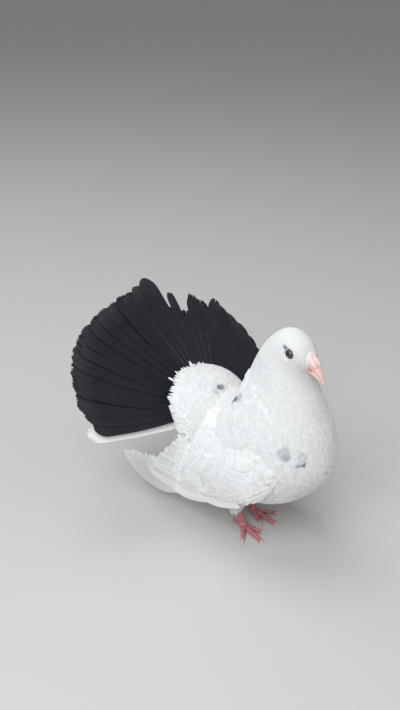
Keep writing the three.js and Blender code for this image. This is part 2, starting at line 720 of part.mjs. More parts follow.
// The origin is on the floor, at the middle of the bird's bounding box.
const box = new THREE.Box3().setFromObject(bird);
const centre = box.getCenter(new THREE.Vector3());
bird.position.set(-centre.x, -centre.y, -box.min.z);

const part = new THREE.Group();
part.add(bird);
export default part;
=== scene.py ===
# %% [markdown]
# # A white fantail pigeon with a black tail
# The bird stands with its chest out, its neck drawn back, its wings hanging and its tail spread
# like an open fan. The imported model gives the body's place and size. Here every surface that shows
# is worked out again, finer: skin, feathers, bill, eyes and feet.

import bpy
import numpy as np
from mathutils import Matrix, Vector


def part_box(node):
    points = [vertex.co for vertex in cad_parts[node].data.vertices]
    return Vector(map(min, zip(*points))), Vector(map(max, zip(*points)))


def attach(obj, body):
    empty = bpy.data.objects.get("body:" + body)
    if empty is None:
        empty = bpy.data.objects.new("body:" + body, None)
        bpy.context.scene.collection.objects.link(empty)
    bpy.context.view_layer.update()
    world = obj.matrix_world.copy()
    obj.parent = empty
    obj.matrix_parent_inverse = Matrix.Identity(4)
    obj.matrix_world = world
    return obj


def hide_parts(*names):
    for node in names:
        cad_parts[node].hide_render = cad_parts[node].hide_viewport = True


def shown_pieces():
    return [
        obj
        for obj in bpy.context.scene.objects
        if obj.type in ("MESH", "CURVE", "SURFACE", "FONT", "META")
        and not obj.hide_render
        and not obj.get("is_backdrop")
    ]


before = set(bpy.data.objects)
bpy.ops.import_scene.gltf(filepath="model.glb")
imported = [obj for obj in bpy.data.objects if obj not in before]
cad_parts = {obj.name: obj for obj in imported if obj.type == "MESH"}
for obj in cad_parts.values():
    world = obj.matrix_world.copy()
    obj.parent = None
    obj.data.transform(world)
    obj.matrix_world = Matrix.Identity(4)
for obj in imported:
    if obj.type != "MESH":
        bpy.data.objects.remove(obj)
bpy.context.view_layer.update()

# %% [markdown]
# ## One frame for the whole bird
# The bird is measured in millimetres from the floor between its feet: x to its left, y to its back
# and z up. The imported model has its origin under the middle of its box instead, so the shift
# between the two is read from the eyes, whose place on the bird is known.

# %% The bird's own frame
EYE_AHEAD, EYE_OUT, EYE_UP, EYE_RADIUS = 42.5, 10.9, 200.0, 4.3
eye_boxes = np.array([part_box("eye_left"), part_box("eye_right")], dtype=float)
eyes_middle = eye_boxes.reshape(-1, 3).mean(axis=0) * 1000
SHIFT = np.array([eyes_middle[0], eyes_middle[1] + EYE_AHEAD, 0.0])
rng = np.random.default_rng(7)
SIDES = ((1, "left"), (-1, "right"))
print("shift from the bird's feet to the model's origin, mm:", SHIFT.round(2))


def spot(ahead, left, up):
    """A point on the bird: so far forward, to its left and up, in millimetres."""
    return np.array([left, -ahead, up], dtype=float)


def unit(v):
    """Vectors divided by their own length."""
    return v / np.maximum(np.linalg.norm(v, axis=-1, keepdims=True), 1e-9)


# %% [markdown]
# ## Camera
# The photograph looks down on the bird from its right front, about 40 degrees off its nose. The
# view is set from measured facts: the lens in pixels, the pitch, the azimuth and the roll, and the
# pixel and distance of the middle of the feet. The frame is 400 by 710 pixels, and Blender's lens
# is measured on its long side.

# %% Set the camera
FRAME_WIDE, FRAME_HIGH = 400, 710
LENS_PIXELS, SENSOR_WIDE = 900, 36.0
PITCH, AZIMUTH, ROLL = np.radians([26.5, -40.0, 2.0])
FEET_PIXEL = (252, 522)
FEET_DISTANCE = 860.0


def stand(made, x, y, z, place):
    """An object at a place, with its own axes along three given ones."""
    matrix = np.eye(4)
    matrix[:3] = np.stack([x, y, z, place], axis=1)
    made.matrix_world = Matrix(matrix.tolist())


level = np.array([-np.sin(AZIMUTH), np.cos(AZIMUTH), 0.0])
ahead = np.cos(PITCH) * level - np.array([0, 0, np.sin(PITCH)])
right = np.array([np.cos(AZIMUTH), np.sin(AZIMUTH), 0.0])
above = np.cross(right, ahead)
right, above = right * np.cos(ROLL) + above * np.sin(ROLL), above * np.cos(ROLL) - right * np.sin(ROLL)
to_feet = ahead + (FEET_PIXEL[0] - FRAME_WIDE / 2) / LENS_PIXELS * right
to_feet = to_feet - (FEET_PIXEL[1] - FRAME_HIGH / 2) / LENS_PIXELS * above
eye_point = (SHIFT - to_feet * FEET_DISTANCE) / 1000

camera_data = bpy.data.cameras.new("photo_camera")
camera_data.sensor_fit = "AUTO"
camera_data.sensor_width = SENSOR_WIDE
camera_data.lens = SENSOR_WIDE * LENS_PIXELS / FRAME_HIGH
camera_data.clip_start = 0.01
camera = bpy.data.objects.new("photo_camera", camera_data)
bpy.context.scene.collection.objects.link(camera)
stand(camera, right, above, -ahead, eye_point)
bpy.context.scene.camera = camera
print("camera at", eye_point.round(3), "lens", round(camera_data.lens, 2), "mm")

# %% [markdown]
# ## Floor and light
# A plain pale floor and soft light stand in for a room. The photograph is lit by a wide soft sky
# from the upper left, so the bird's right side is bright and cool, and its breast is warmer and
# dimmer. One large lamp makes that side, a weaker warm one fills the other, and the world gives
# the rest. The standard view curve is used, because its whites and blacks are as clear as those of
# the photograph.


# %% Lay the floor and hang the lamps
def plain_material(name, colour, roughness):
    """A shader of one colour and one roughness, both set on the shader's own sockets."""
    material = bpy.data.materials.new(name)
    material.use_nodes = True
    shader = material.node_tree.nodes["Principled BSDF"]
    shader.inputs["Base Color"].default_value = (*colour, 1)
    shader.inputs["Roughness"].default_value = roughness
    return material


FLOOR_HALF, BODY_HIGH = 40.0, 0.12
floor_mesh = bpy.data.meshes.new("floor")
corner_signs = ((-1, -1), (1, -1), (1, 1), (-1, 1))
floor_mesh.from_pydata([(x * FLOOR_HALF, y * FLOOR_HALF, 0) for x, y in corner_signs], [], [(0, 1, 2, 3)])
floor = bpy.data.objects.new("floor", floor_mesh)
bpy.context.scene.collection.objects.link(floor)
floor_mesh.materials.append(plain_material("pale_floor", (0.52, 0.515, 0.505), 0.85))
floor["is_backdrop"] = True


def lamp(name, place, size, power, colour):
    """A square lamp that faces the bird's body."""
    data = bpy.data.lights.new(name, "AREA")
    data.size, data.energy, data.color = size, power, colour
    made = bpy.data.objects.new(name, data)
    bpy.context.scene.collection.objects.link(made)
    back = unit(np.array(place) - (SHIFT / 1000 + np.array([0, 0, BODY_HIGH])))
    side = unit(np.cross([0, 0, 1], back))
    stand(made, side, np.cross(back, side), back, place)


lamp("window_side", (-1.2, -0.6, 1.3), 1.2, 28, (0.95, 0.975, 1.0))
lamp("overhead", (-0.2, 0.5, 1.6), 1.2, 12, (0.97, 0.98, 1.0))
lamp("warm_fill", (1.1, -1.3, 0.8), 1.4, 4.2, (1.0, 0.90, 0.78))
world = bpy.data.worlds.new("soft_room")
world.use_nodes = True
sky = world.node_tree.nodes["Background"]
sky.inputs["Color"].default_value = (0.86, 0.88, 0.90, 1)
sky.inputs["Strength"].default_value = 0.37
bpy.context.scene.world = world
bpy.context.scene.view_settings.view_transform = "Standard"
print("floor and lamps placed")

# %% [markdown]
# ## Making a mesh from arrays
# Every piece is a grid of points that a formula gives. Small helpers turn grids into meshes. One
# wraps a tube and closes its ends with a fan of triangles. Another makes thousands of thin leaves
# at once: each leaf is a small grid with two faces that share the rim, so that it is closed and
# has no thick edge. A leaf's own map runs across and along it, and its baking map is a small patch
# at its root's place on the surface below.


# %% Build meshes
PATCH = 0.003


def build(name, points, faces, material, uv_maps=None, marks=None):
    """Points in the bird's frame and lists of equal-sided faces become one smooth object."""
    mesh = bpy.data.meshes.new(name)
    places = (points.reshape(-1, 3) + SHIFT) / 1000
    mesh.vertices.add(len(places))
    mesh.vertices.foreach_set("co", places.astype(np.float32).ravel())
    loops = np.concatenate([f.ravel() for f in faces]).astype(np.int32)
    sizes = np.concatenate([np.full(len(f), f.shape[1]) for f in faces])
    mesh.loops.add(len(loops))
    mesh.loops.foreach_set("vertex_index", loops)
    mesh.polygons.add(len(sizes))
    starts = np.concatenate([[0], np.cumsum(sizes)[:-1]]).astype(np.int32)
    mesh.polygons.foreach_set("loop_start", starts)
    mesh.polygons.foreach_set("use_smooth", np.ones(len(sizes), dtype=bool))
    for title, uv in (uv_maps or {}).items():
        layer = mesh.uv_layers.new(name=title)
        layer.data.foreach_set("uv", uv.reshape(-1, 2)[loops].astype(np.float32).ravel())
    for title, values in (marks or {}).items():
        layer = mesh.attributes.new(title, "FLOAT", "POINT")
        layer.data.foreach_set("value", values.astype(np.float32).ravel())
    mesh.update(calc_edges=True)
    mesh.materials.append(material)
    made = bpy.data.objects.new(name, mesh)
    bpy.context.scene.collection.objects.link(made)
    return made


def dress(made, finish_name, *nodes):
    """The piece goes with the bird's one body and stands for these solids. The finish name is not used."""
    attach(made, "root")
    if nodes:
        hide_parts(*nodes)
    return made


def ring_grid(start, end, rows, cols):
    """Places along a tube, and turns round it, for rows of cols points."""
    turns = np.linspace(0, 2 * np.pi, cols + 1)[:-1]
    return np.meshgrid(np.linspace(start, end, rows), turns, indexing="ij")


def oval(across, up, wide, high, turn):
    """The way from an oval's middle to its rim: across by the cosine and up by the sine."""
    return across * (wide * np.cos(turn))[..., None] + up * (high * np.sin(turn))[..., None]


def tube_faces(rows, cols, start=0):
    """Faces of a tube of rows by cols points, plus its two end points, which come last."""
    i, j = np.meshgrid(np.arange(rows - 1), np.arange(cols), indexing="ij")
    a, b = i * cols + j, i * cols + (j + 1) % cols
    quads = np.stack([a, b, b + cols, a + cols], axis=-1).reshape(-1, 4) + start
    k = np.arange(cols)
    first, last = rows * cols, rows * cols + 1
    foot = np.stack([(k + 1) % cols, k, np.full(cols, first)], axis=-1)
    top = np.stack([(rows - 1) * cols + k, (rows - 1) * cols + (k + 1) % cols, np.full(cols, last)], axis=-1)
    return quads, np.concatenate([foot, top]) + start


def tubes(rings_list):
    """Several closed tubes, each given as rows of rings, as one list of points and its faces."""
    points, quads, tris = [], [], []
    start = 0
    for rings in rings_list:
        rows, cols = rings.shape[:2]
        ends = np.stack([rings[0].mean(axis=0), rings[-1].mean(axis=0)])
        body = np.concatenate([rings.reshape(-1, 3), ends])
        q, t = tube_faces(rows, cols, start)
        axis = rings[-1].mean(axis=0) - rings[0].mean(axis=0)
        turn = np.cross(rings[0][0] - ends[0], rings[0][1] - ends[0])
        if np.dot(axis, turn) < 0:
            q, t = q[:, ::-1], t[:, ::-1]
        points.append(body)
        quads.append(q)
        tris.append(t)
        start += len(body)
    return np.concatenate(points), [np.concatenate(quads), np.concatenate(tris)]


def leaf_faces(rows, cols):
    """Faces of one leaf: its upper grid, then its lower one, which borrows the upper one's rim."""
    upper = np.arange(rows * cols).reshape(rows, cols)
    lower = upper.copy()
    lower[1:-1, 1:-1] = rows * cols + np.arange((rows - 2) * (cols - 2)).reshape(rows - 2, cols - 2)

    def grid(g):
        return np.stack([g[:-1, :-1], g[:-1, 1:], g[1:, 1:], g[1:, :-1]], axis=-1).reshape(-1, 4)

    return np.concatenate([grid(upper)[:, ::-1], grid(lower)]), rows * cols + (rows - 2) * (cols - 2)


def crease(mesh, on_rim):
    """An edge with both ends on a leaf's rim is shaded sharp, so that the leaf's face looks flat
    right up to it."""
    ends = np.empty(2 * len(mesh.edges), dtype=np.int32)
    mesh.edges.foreach_get("vertices", ends)
    mesh.edges.foreach_set("use_edge_sharp", on_rim[ends].reshape(-1, 2).all(axis=1))


def leaf_grid(rows, cols):
    """Places along and across a leaf, 0 to 1 along and -1 to 1 across."""
    s, k = np.meshgrid(np.linspace(0, 1, rows), np.linspace(-1, 1, cols), indexing="ij")
    return s[None], k[None]


def per_leaf(values):
    """One value a leaf, shaped to spread over the leaf's points."""
    return values[:, None, None]


def leaves(name, middle, normals, thick, root_uv, material, marks):
    """Leaves of shape (count, rows, cols): the upper face lies on the middle points, and the lower
    one below them by twice the thickness, all but the rim, which both share."""
    count, rows, cols = middle.shape[:3]
    inside = np.zeros((rows, cols))
    inside[1:-1, 1:-1] = 1
    lower = middle - normals * (2 * thick * inside)[..., None]
    inner = (slice(None), slice(1, rows - 1), slice(1, cols - 1))

    def both(values, below):
        flat = values.reshape(count, rows * cols, -1)
        return np.concatenate([flat, below[inner].reshape(count, (rows - 2) * (cols - 2), -1)], axis=1)

    template, size = leaf_faces(rows, cols)
    faces = (template[None] + per_leaf(np.arange(count) * size)).reshape(-1, 4)
    s, k = leaf_grid(rows, cols)
    local = np.stack([(k[0] + 1) / 2, s[0]], axis=-1)
    patch = root_uv[:, None, None, :] + (local - 0.5) * PATCH
    local = np.broadcast_to(local, (count, rows, cols, 2))
    maps = {"OFBake": both(patch, patch), "vane": both(local, local)}
    spread = {k: np.broadcast_to(v, (count, rows, cols))[..., None] for k, v in marks.items()}
    extra = {k: both(v, v) for k, v in spread.items()}
    made = build(name, both(middle, lower), [faces], material, maps, extra)
    on_rim = np.concatenate([inside.ravel() == 0, np.zeros(size - rows * cols, dtype=bool)])
    crease(made.data, np.tile(on_rim, count))
    return made


print("mesh helpers ready")

# %% [markdown]
# ## The body's surface
# The body runs from the rump to the bill as one bent tube. A table gives the back and the belly in
# side view at some stations, with the half width and the level where the body is widest. Between
# the stations a smooth curve is drawn, so any point is a function of a station and a turn round it.

# %% Body table and surface
BODY = np.array([  # back ahead and up, belly ahead and up, half width, share of the widest level
    [-64, 118, -70, 88, 20, 0.5], [-56, 123, -64, 66, 33, 0.5], [-42, 127, -48, 46, 41, 0.5],
    [-28, 130, -24, 37, 46, 0.5], [-19, 134, 2, 35, 49, 0.5], [-14, 140, 30, 43, 50, 0.5],
    [-11, 147, 56, 59, 48, 0.48], [-9, 155, 76, 84, 43, 0.46], [-8, 163, 84, 105, 37, 0.45],
    [-6, 171, 80, 130, 30.5, 0.45], [-3, 180, 71, 149, 25, 0.46], [2, 190, 63, 163, 21, 0.5],
    [8, 199, 57, 172, 18, 0.52], [15, 207, 54, 179, 15.8, 0.55], [24, 213.5, 53, 183, 14.4, 0.52],
    [34, 216, 54, 185.5, 13.2, 0.5], [43, 213.5, 56, 187.5, 11.2, 0.5],
    [50.5, 208.5, 57.5, 188.5, 8.8, 0.5], [55.5, 203, 58, 189, 6, 0.5],
])
NECK_BASE, HEAD_BASE, BILL_BASE = 8.5, 12.5, 18.0


def spline(rows, t):
    """A smooth curve through rows of numbers (Catmull-Rom): t counts rows, and each stretch is the
    cubic that leaves and meets its two rows along the line between their neighbours."""
    t = np.asarray(t, dtype=float)
    last = len(rows) - 1
    i = np.clip(np.floor(t).astype(int), 0, last - 1)
    u = (t - i)[..., None]
    before, start, end, after = (rows[np.clip(i + k, 0, last)] for k in (-1, 0, 1, 2))
    bend = 3 * (start - end) + after - before
    return start + 0.5 * u * (end - before + u * (2 * before - 5 * start + 4 * end - after + u * bend))


def body_at(t, turn, height=0.0):
    """A point of the body: from the widest level towards the back or the belly by the sine of the
    turn, and to the side by the half width times its cosine, all grown by the height."""
    row = spline(BODY, t)
    zero = np.zeros(row.shape[:-1])
    back = np.stack([zero, -row[..., 0], row[..., 1]], axis=-1)
    belly = np.stack([zero, -row[..., 2], row[..., 3]], axis=-1)
    up = unit(back - belly)
    grown = np.asarray(height)[..., None]
    back, belly = back + up * grown, belly - up * grown
    middle = belly + (back - belly) * row[..., 5:6]
    sine = np.sin(turn)[..., None]
    point = middle + (np.where(sine > 0, back, belly) - middle) * np.abs(sine)
    point[..., 0] += (row[..., 4] + height) * np.cos(turn)
    return point


stations, turns = ring_grid(0, BILL_BASE, 121, 96)
extent = np.ptp(body_at(stations, turns).reshape(-1, 3), axis=0)
print("body, mm wide, long and high:", extent.round(1))

# %% [markdown]
# ## The wings' surface
# A closed wing lies on the flank like a bent sheet. A second table gives, from the fold of the wing
# to its tip, the flank's middle level, its half height and half width, and the wing's lower and
# upper edge. The left wing hangs a little lower than the right one, so its levels are shifted.

# %% Wing table and surface
WING = np.array([
    [68, 90, 48, 33, 106, 112, 88, 104], [61, 88, 52, 39.5, 91, 116, 71, 112],
    [54, 86, 54.5, 43, 76, 119, 61, 116], [48, 84, 57, 46, 66, 121, 52, 119],
    [30, 80, 62, 50, 54, 124, 32, 119],
    [10, 74, 67, 52, 46, 125, 16, 118], [-8, 68, 72, 52, 38, 124, 8, 116],
    [-30, 62, 74, 52.5, 28, 119, 7, 111], [-50, 56, 74, 55, 21, 104, 6.5, 97],
    [-66, 50, 72, 57, 16, 84, 6, 77], [-82, 44, 68, 58, 12, 66, 6, 60],
    [-100, 36, 62, 56, 8.5, 54, 6, 48], [-118, 30, 56, 53.5, 8, 48, 6, 43],
    [-142, 26, 52, 51, 14, 42, 12, 37],
])
AHEAD, MIDDLE, HALF_HIGH, HALF_WIDE, LOW, HIGH, LEFT_LOW, LEFT_HIGH = range(8)
THIN_FROM, THIN_OVER = -15, 50


def wing_row(a):
    """The wing's table looked up by the forward place."""
    ahead_ = np.asarray(a, dtype=float)
    i = np.clip(np.searchsorted(-WING[:, AHEAD], -ahead_, side="right") - 1, 0, len(WING) - 2)
    share = (a - WING[i, AHEAD]) / (WING[i + 1, AHEAD] - WING[i, AHEAD])
    return spline(WING, i + share)


def edge_share(row, b, low=LOW):
    """How far a level lies up the wing: 0 at its lower edge and 1 at its upper one."""
    return (b - row[..., low]) / (row[..., low + 1] - row[..., low])


def wing_at(side, a, b, height=0.0):
    """A point of a wing: outward by the flank's half width times the root of one minus the squared
    level, plus the height. Side is 1 on the left and -1 on the right."""
    row = wing_row(a)
    off_middle = np.minimum(np.abs((b - row[..., MIDDLE]) / row[..., HALF_HIGH]), 0.97)
    outward = row[..., HALF_WIDE] * np.sqrt(1 - off_middle**2) + height
    if side > 0:
        b = row[..., LEFT_LOW] + edge_share(row, b) * (row[..., LEFT_HIGH] - row[..., LEFT_LOW])
    return np.stack(np.broadcast_arrays(side * outward, -np.asarray(a, dtype=float), b), axis=-1)


def smooth_step(x, low, high):
    """0 below low, 1 above high, and a soft S between."""
    s = np.clip((x - low) / (high - low), 0, 1)
    return s * s * (3 - 2 * s)


def pad_height(a, v, depth=0.0):
    """Height of the wing's fleshy pad above the sheet: it swells in from the fold, is round at its
    lower edge, slopes softly into the back at its upper one, and thins to the rear, less the
    depth of the coat."""
    root_height, full_height, thin_height, crest, front_over = -4, 9, 1.2, 0.42, 30
    thin = smooth_step(THIN_FROM - a, 0, THIN_OVER)
    front = smooth_step(WING[0, AHEAD] - a, 0, front_over)
    above_crest = v > crest
    off = np.clip(np.where(above_crest, (v - crest) / (1 - crest), (crest - v) / crest), 0, 1)
    swell = root_height + full_height * front * (1 - off ** np.where(above_crest, 2.2, 5.0))
    return swell + (thin_height - swell) * thin - depth


print("wing tip behind the feet, mm:", -WING[-1, AHEAD])

# %% [markdown]
# ## The tail's surface
# The tail stands up like a hand mirror: a shallow cone about a point in the rump. A place on it is
# given by x to the bird's left, y along the middle feather, and a height towards the bird's front.

# %% Tail axes and surface
APEX = spot(-55, 0, 99)
LEAN, SWING, TAIL_ROLL, CONE = np.radians([45, 15, -9, 98])


def turned_about(axis, angle, v):
    """A vector turned about a unit axis (the rotation formula of Rodrigues)."""
    along = axis * np.dot(axis, v)
    return v * np.cos(angle) + np.cross(axis, v) * np.sin(angle) + along * (1 - np.cos(angle))


def tail_axis(ahead_, left, up):
    """A direction of the upright fan, swung to one side and rolled about the fan's front."""
    return turned_about(tail_front, TAIL_ROLL, turned_about(up_axis, SWING, spot(ahead_, left, up)))


up_axis = np.array([0.0, 0.0, 1.0])
tail_front = turned_about(up_axis, SWING, spot(np.cos(LEAN), 0, np.sin(LEAN)))
tail_middle = tail_axis(-np.sin(LEAN), 0, np.cos(LEAN))
tail_side = tail_axis(0, 1, 0)


def tail_at(x, y, height=0.0):
    """A point of the tail: out from the apex along its spoke, which leans to the front by the cone's
    angle, and off the cone by the height."""
    reach = np.maximum(np.hypot(x, y), 1e-6)[..., None]
    spoke = (tail_side * np.asarray(x)[..., None] + tail_middle * np.asarray(y)[..., None]) / reach
    height = np.asarray(height)[..., None]
    along = reach * np.sin(CONE) - height * np.cos(CONE)
    return APEX + spoke * along + tail_front * (reach * np.cos(CONE) + height * np.sin(CONE))


def in_tail(x, y, h):
    """A point given straight in the tail's three axes."""
    place = APEX
    for axis, step in zip((tail_side, tail_middle, tail_front), (x, y, h)):
        place = place + axis * np.asarray(step)[..., None]
    return place


print("tail leans back", np.degrees(LEAN), "degrees")

# %% [markdown]
# ## Markings
# The bird is white, with a few grey feathers: two spots low on the breast, one at the base of the
# neck, one on the cushion, and a short streak above each eye. The cheek and the corner of the mouth
# are a little pink. Each mark is a small ball in the bird's frame, and the feathers in it take its
# colour. All kinds of feather ask the same function, so they agree.

# %% Markings by place
MARKS = [  # ahead, left, up, radius, strength
    (63.6, -31.0, 121.4, 6.6, 0.34), (65.0, -29.5, 118.0, 3.4, 0.60),
    (74.0, -24.0, 112.4, 2.1, 0.85), (76.8, -20.4, 113.4, 2.1, 0.85), (74.8, -21.3, 119.6, 4.6, 0.22),
    (-5.2, -26.0, 140.0, 4.2, 1.0), (3.5, -28.1, 146.9, 4.0, 0.5), (-1.0, -27.0, 143.2, 3.4, 0.9),
    (-42.5, -12.3, 131.8, 3.2, 0.9), (-42.2, -8.3, 131.2, 2.6, 0.8), (-40.0, -17.6, 130.1, 3.6, 0.25),
    (36.8, -13.3, 204.9, 1.9, 0.7), (38.6, -13.6, 204.2, 2.0, 0.9),
    (36.8, 13.3, 204.9, 1.9, 0.5), (38.6, 13.6, 204.2, 2.0, 0.7),
]
BLUSH = [ball for side, _ in SIDES for ball in (
    (39.0, 14.4 * side, 197.4, 4.5, 0.5),
    (51.0, 8.0 * side, 193.5, 3.0, 0.5),
)]


def marked(points, balls=MARKS):
    """How strong the mark is at some points: its strength inside the ball, fading at its rim."""
    value = np.zeros(points.shape[:-1])
    for *centre, radius, strength in balls:
        away = np.linalg.norm(points - spot(*centre), axis=-1)
        value = np.maximum(value, strength * (1 - smooth_step(away, 0.75 * radius, 1.1 * radius)))
    return value


print(len(MARKS), "grey marks")

# %% [markdown]
# ## Materials
# Feather is matt and soft. Light passes a little way through it, and its barbs give it a fine
# grain along the vane, which the vane's own map carries. White feathers differ a little from one to
# the next, so each carries a random shade. Black feathers have a faint blue sheen and tips worn to
# brown, and their shafts are pieces of their own.


# %% Feather materials
class Nodes:
    """A short way to add shader nodes and join their sockets."""

    def __init__(self, name):
        self.material = bpy.data.materials.new(name)
        self.material.use_nodes = True
        self.tree = self.material.node_tree
        self.shader = self.tree.nodes["Principled BSDF"]

    def add(self, kind, inputs=None, **settings):
        """A node with some settings, and inputs that are values or other nodes' outputs."""
        node = self.tree.nodes.new(kind)
        for key, value in settings.items():
            setattr(node, key, value)
        for key, value in (inputs or {}).items():
            self.set(node.inputs[key], value)
        return node

    def set(self, socket, value):
        """A socket's value, or the output that feeds it."""
        if isinstance(value, bpy.types.NodeSocket):
            self.tree.links.new(value, socket)
        else:
            socket.default_value = value

    def mark(self, name):
        """A number that the mesh carries at each point."""
        return self.add("ShaderNodeAttribute", attribute_name=name).outputs["Fac"]

    def mix(self, share, first, second):
        """A colour between two colours."""
        node = self.add("ShaderNodeMix", data_type="RGBA")
        self.set(node.inputs["Factor"], share)
        self.set(node.inputs["A"], first)
        self.set(node.inputs["B"], second)
        return node.outputs["Result"]

    def math(self, what, first, second=0.0, clamp=False):
        """One step of arithmetic."""
        node = self.add("ShaderNodeMath", operation=what, use_clamp=clamp)
        self.set(node.inputs[0], first)
        self.set(node.inputs[1], second)
        return node.outputs[0]

    def noise(self, scale, detail=3.0):
        """Soft noise on the object's own coordinates."""
        place = self.add("ShaderNodeTexCoord").outputs["Object"]
        inputs = {"Vector": place, "Scale": scale, "Detail": detail}
        return self.add("ShaderNodeTexNoise", inputs).outputs["Fac"]

    def look(self, values):
        """The shader's own sockets by name: plain values, or outputs that feed them."""
        for name, value in values.items():
            self.set(self.shader.inputs[name], value)

    def bump(self, height, strength, distance):
        """Small relief from a grey value."""
        node = self.add("ShaderNodeBump", {"Height": height, "Strength": strength, "Distance": distance})
        self.tree.links.new(node.outputs["Normal"], self.shader.inputs["Normal"])


def barb_grain(nodes, count, slant):
    """Fine slanting ridges on both sides of the rachis, from the vane's own map, and the place
    along the vane."""
    vane = nodes.add("ShaderNodeUVMap", uv_map="vane").outputs["UV"]
    parts = nodes.add("ShaderNodeSeparateXYZ", {"Vector": vane})
    off = nodes.math("ABSOLUTE", nodes.math("SUBTRACT", parts.outputs["X"], 0.5))
    slanted = nodes.math("SUBTRACT", parts.outputs["Y"], nodes.math("MULTIPLY", off, slant))
    wave = nodes.math("SINE", nodes.math("MULTIPLY", slanted, count))
    return wave, parts.outputs["Y"]


def white_feather(name, count):
    """White plumage: warm or cool by the feather, grey in the marks, grained by its barbs."""
    nodes = Nodes(name)
    wave, _ = barb_grain(nodes, count, 0.5)
    white = nodes.mix(nodes.mark("shade"), (0.88, 0.875, 0.855, 1), (0.93, 0.93, 0.925, 1))
    grey = nodes.mix(nodes.noise(900.0), (0.055, 0.06, 0.08, 1), (0.19, 0.20, 0.24, 1))
    pink = nodes.mix(nodes.mark("blush"), white, (0.86, 0.62, 0.58, 1))
    nodes.look({
        "Base Color": nodes.mix(nodes.mark("dark"), pink, grey), "Roughness": 0.8,
        "Specular IOR Level": 0.2, "Sheen Weight": 0.2, "Sheen Roughness": 0.5,
        "Subsurface Weight": 0.35, "Subsurface Radius": (1.0, 0.9, 0.8), "Subsurface Scale": 0.003,
    })
    nodes.bump(wave, 0.15, 0.0002)
    return nodes.material


def black_feather(name):
    """Black vanes with a blue sheen and brown wear towards the tip."""
    nodes = Nodes(name)
    wave, along = barb_grain(nodes, 420.0, 0.45)
    black = nodes.mix(nodes.noise(60.0, 4.0), (0.0045, 0.0055, 0.009, 1), (0.011, 0.013, 0.019, 1))
    near_tip = nodes.math("MULTIPLY", nodes.math("SUBTRACT", along, 0.8), 4.0, clamp=True)
    worn = nodes.math("MULTIPLY", near_tip, nodes.mark("wear"))
    nodes.look({
        "Base Color": nodes.mix(worn, black, (0.045, 0.041, 0.040, 1)), "Roughness": 0.5,
        "Specular IOR Level": 0.25, "Sheen Weight": 0.02, "Sheen Tint": (0.5, 0.62, 0.9, 1),
    })
    nodes.bump(wave, 0.35, 0.0003)
    return nodes.material


COAT_BARBS, QUILL_BARBS = 60.0, 300.0
white_coat = white_feather("white_coat", COAT_BARBS)
white_quill = white_feather("white_quill", QUILL_BARBS)
black_quill = black_feather("black_quill")
print("feather materials ready")

# %% [markdown]
# ## Skin
# Under the feathers there is one skin, from the rump to the bill, with the swell of the wings, the
# thighs and the cushion in front of the tail. It could be drawn as one lofted form, but the wings
# branch off it. So the parts are made as separate tubes a coat's depth inside the body, melted into
# one by a voxel remesh, and smoothed a little, which leaves no seam.


# %% Skin from melted parts
def coat_depth(t):
    """Depth of the coat in millimetres: full on the body, thinner up the neck, thinnest at the bill."""
    return np.interp(t, [0, 8, 10.5, 13, 16, 18], [3.5, 3.2, 2.4, 1.5, 0.9, 0.25])


def ellipsoid_rings(centre, radii):
    """Rings of an ellipsoid that stands in the tail's axes."""
    v, u = ring_grid(0.04, 0.96, 24, 36)
    v = v * np.pi
    x = centre[0] + radii[0] * np.sin(v) * np.cos(u)
    y = centre[1] + radii[1] * np.sin(v) * np.sin(u)
    return in_tail(x, y, centre[2] + radii[2] * np.cos(v))


def limb_axes(start, end):
    """The way along a limb, the way across it and the way up from it."""
    along = unit(end - start)
    across = np.array([1.0, 0, 0])
    return along, across, unit(np.cross(across, along))


def ring_limb(start, end, first, last):
    """Rings of a straight limb whose radius goes from the first to the last."""
    _, across, up = limb_axes(start, end)
    s, turn = ring_grid(0, 1, 12, 24)
    radius = first + (last - first) * s
    return start + (end - start) * s[..., None] + oval(across, up, radius, radius, turn)


def pad_rings(side):
    """The wing pad as rings: up the outer face and back down the inner one, which lies deep inside
    the body in front and just under the sheet at the rear."""
    per_face, inner_depth, rear_depth = 20, -9.0, -1.2
    levels = np.linspace(0.03, 0.97, per_face)
    round_ = np.concatenate([levels, levels[::-1]])
    a, v = np.broadcast_arrays(np.linspace(67, -66, 60)[:, None], round_[None, :])
    row = wing_row(a)
    outer = np.arange(2 * per_face)[None, :] < per_face
    inner_height = inner_depth + (rear_depth - inner_depth) * smooth_step(THIN_FROM - a, 0, THIN_OVER)
    height = np.where(outer, pad_height(a, v, 2.0), inner_height)
    return wing_at(side, a, row[..., LOW] + (row[..., HIGH] - row[..., LOW]) * v, height)


STANCE, STEP = 11.7, 6.0  # half the width between the feet, and half the step between them
HOCK, HIP, BALL = (-22, 40), (2, 62), (-5.5, 4.5)  # each ahead and up
HOCK_OUT, HIP_OUT, THIGH_SHARE = 7, 8, 0.45


def ball_of_foot(side, up):
    """The middle of a foot: the right foot stands ahead and the left one behind."""
    return spot(BALL[0] - side * STEP, side * STANCE, up)


def hock_of(side):
    """The heel joint, up and back from the foot."""
    return spot(HOCK[0] - side * STEP, side * (STANCE + HOCK_OUT), HOCK[1])


def thigh_ends(side):
    """Where the feathered thigh begins and ends."""
    hip = spot(HIP[0] - side * STEP, side * (STANCE + HIP_OUT), HIP[1])
    foot = ball_of_foot(side, BALL[1])
    return hip, foot + (hock_of(side) - foot) * THIGH_SHARE


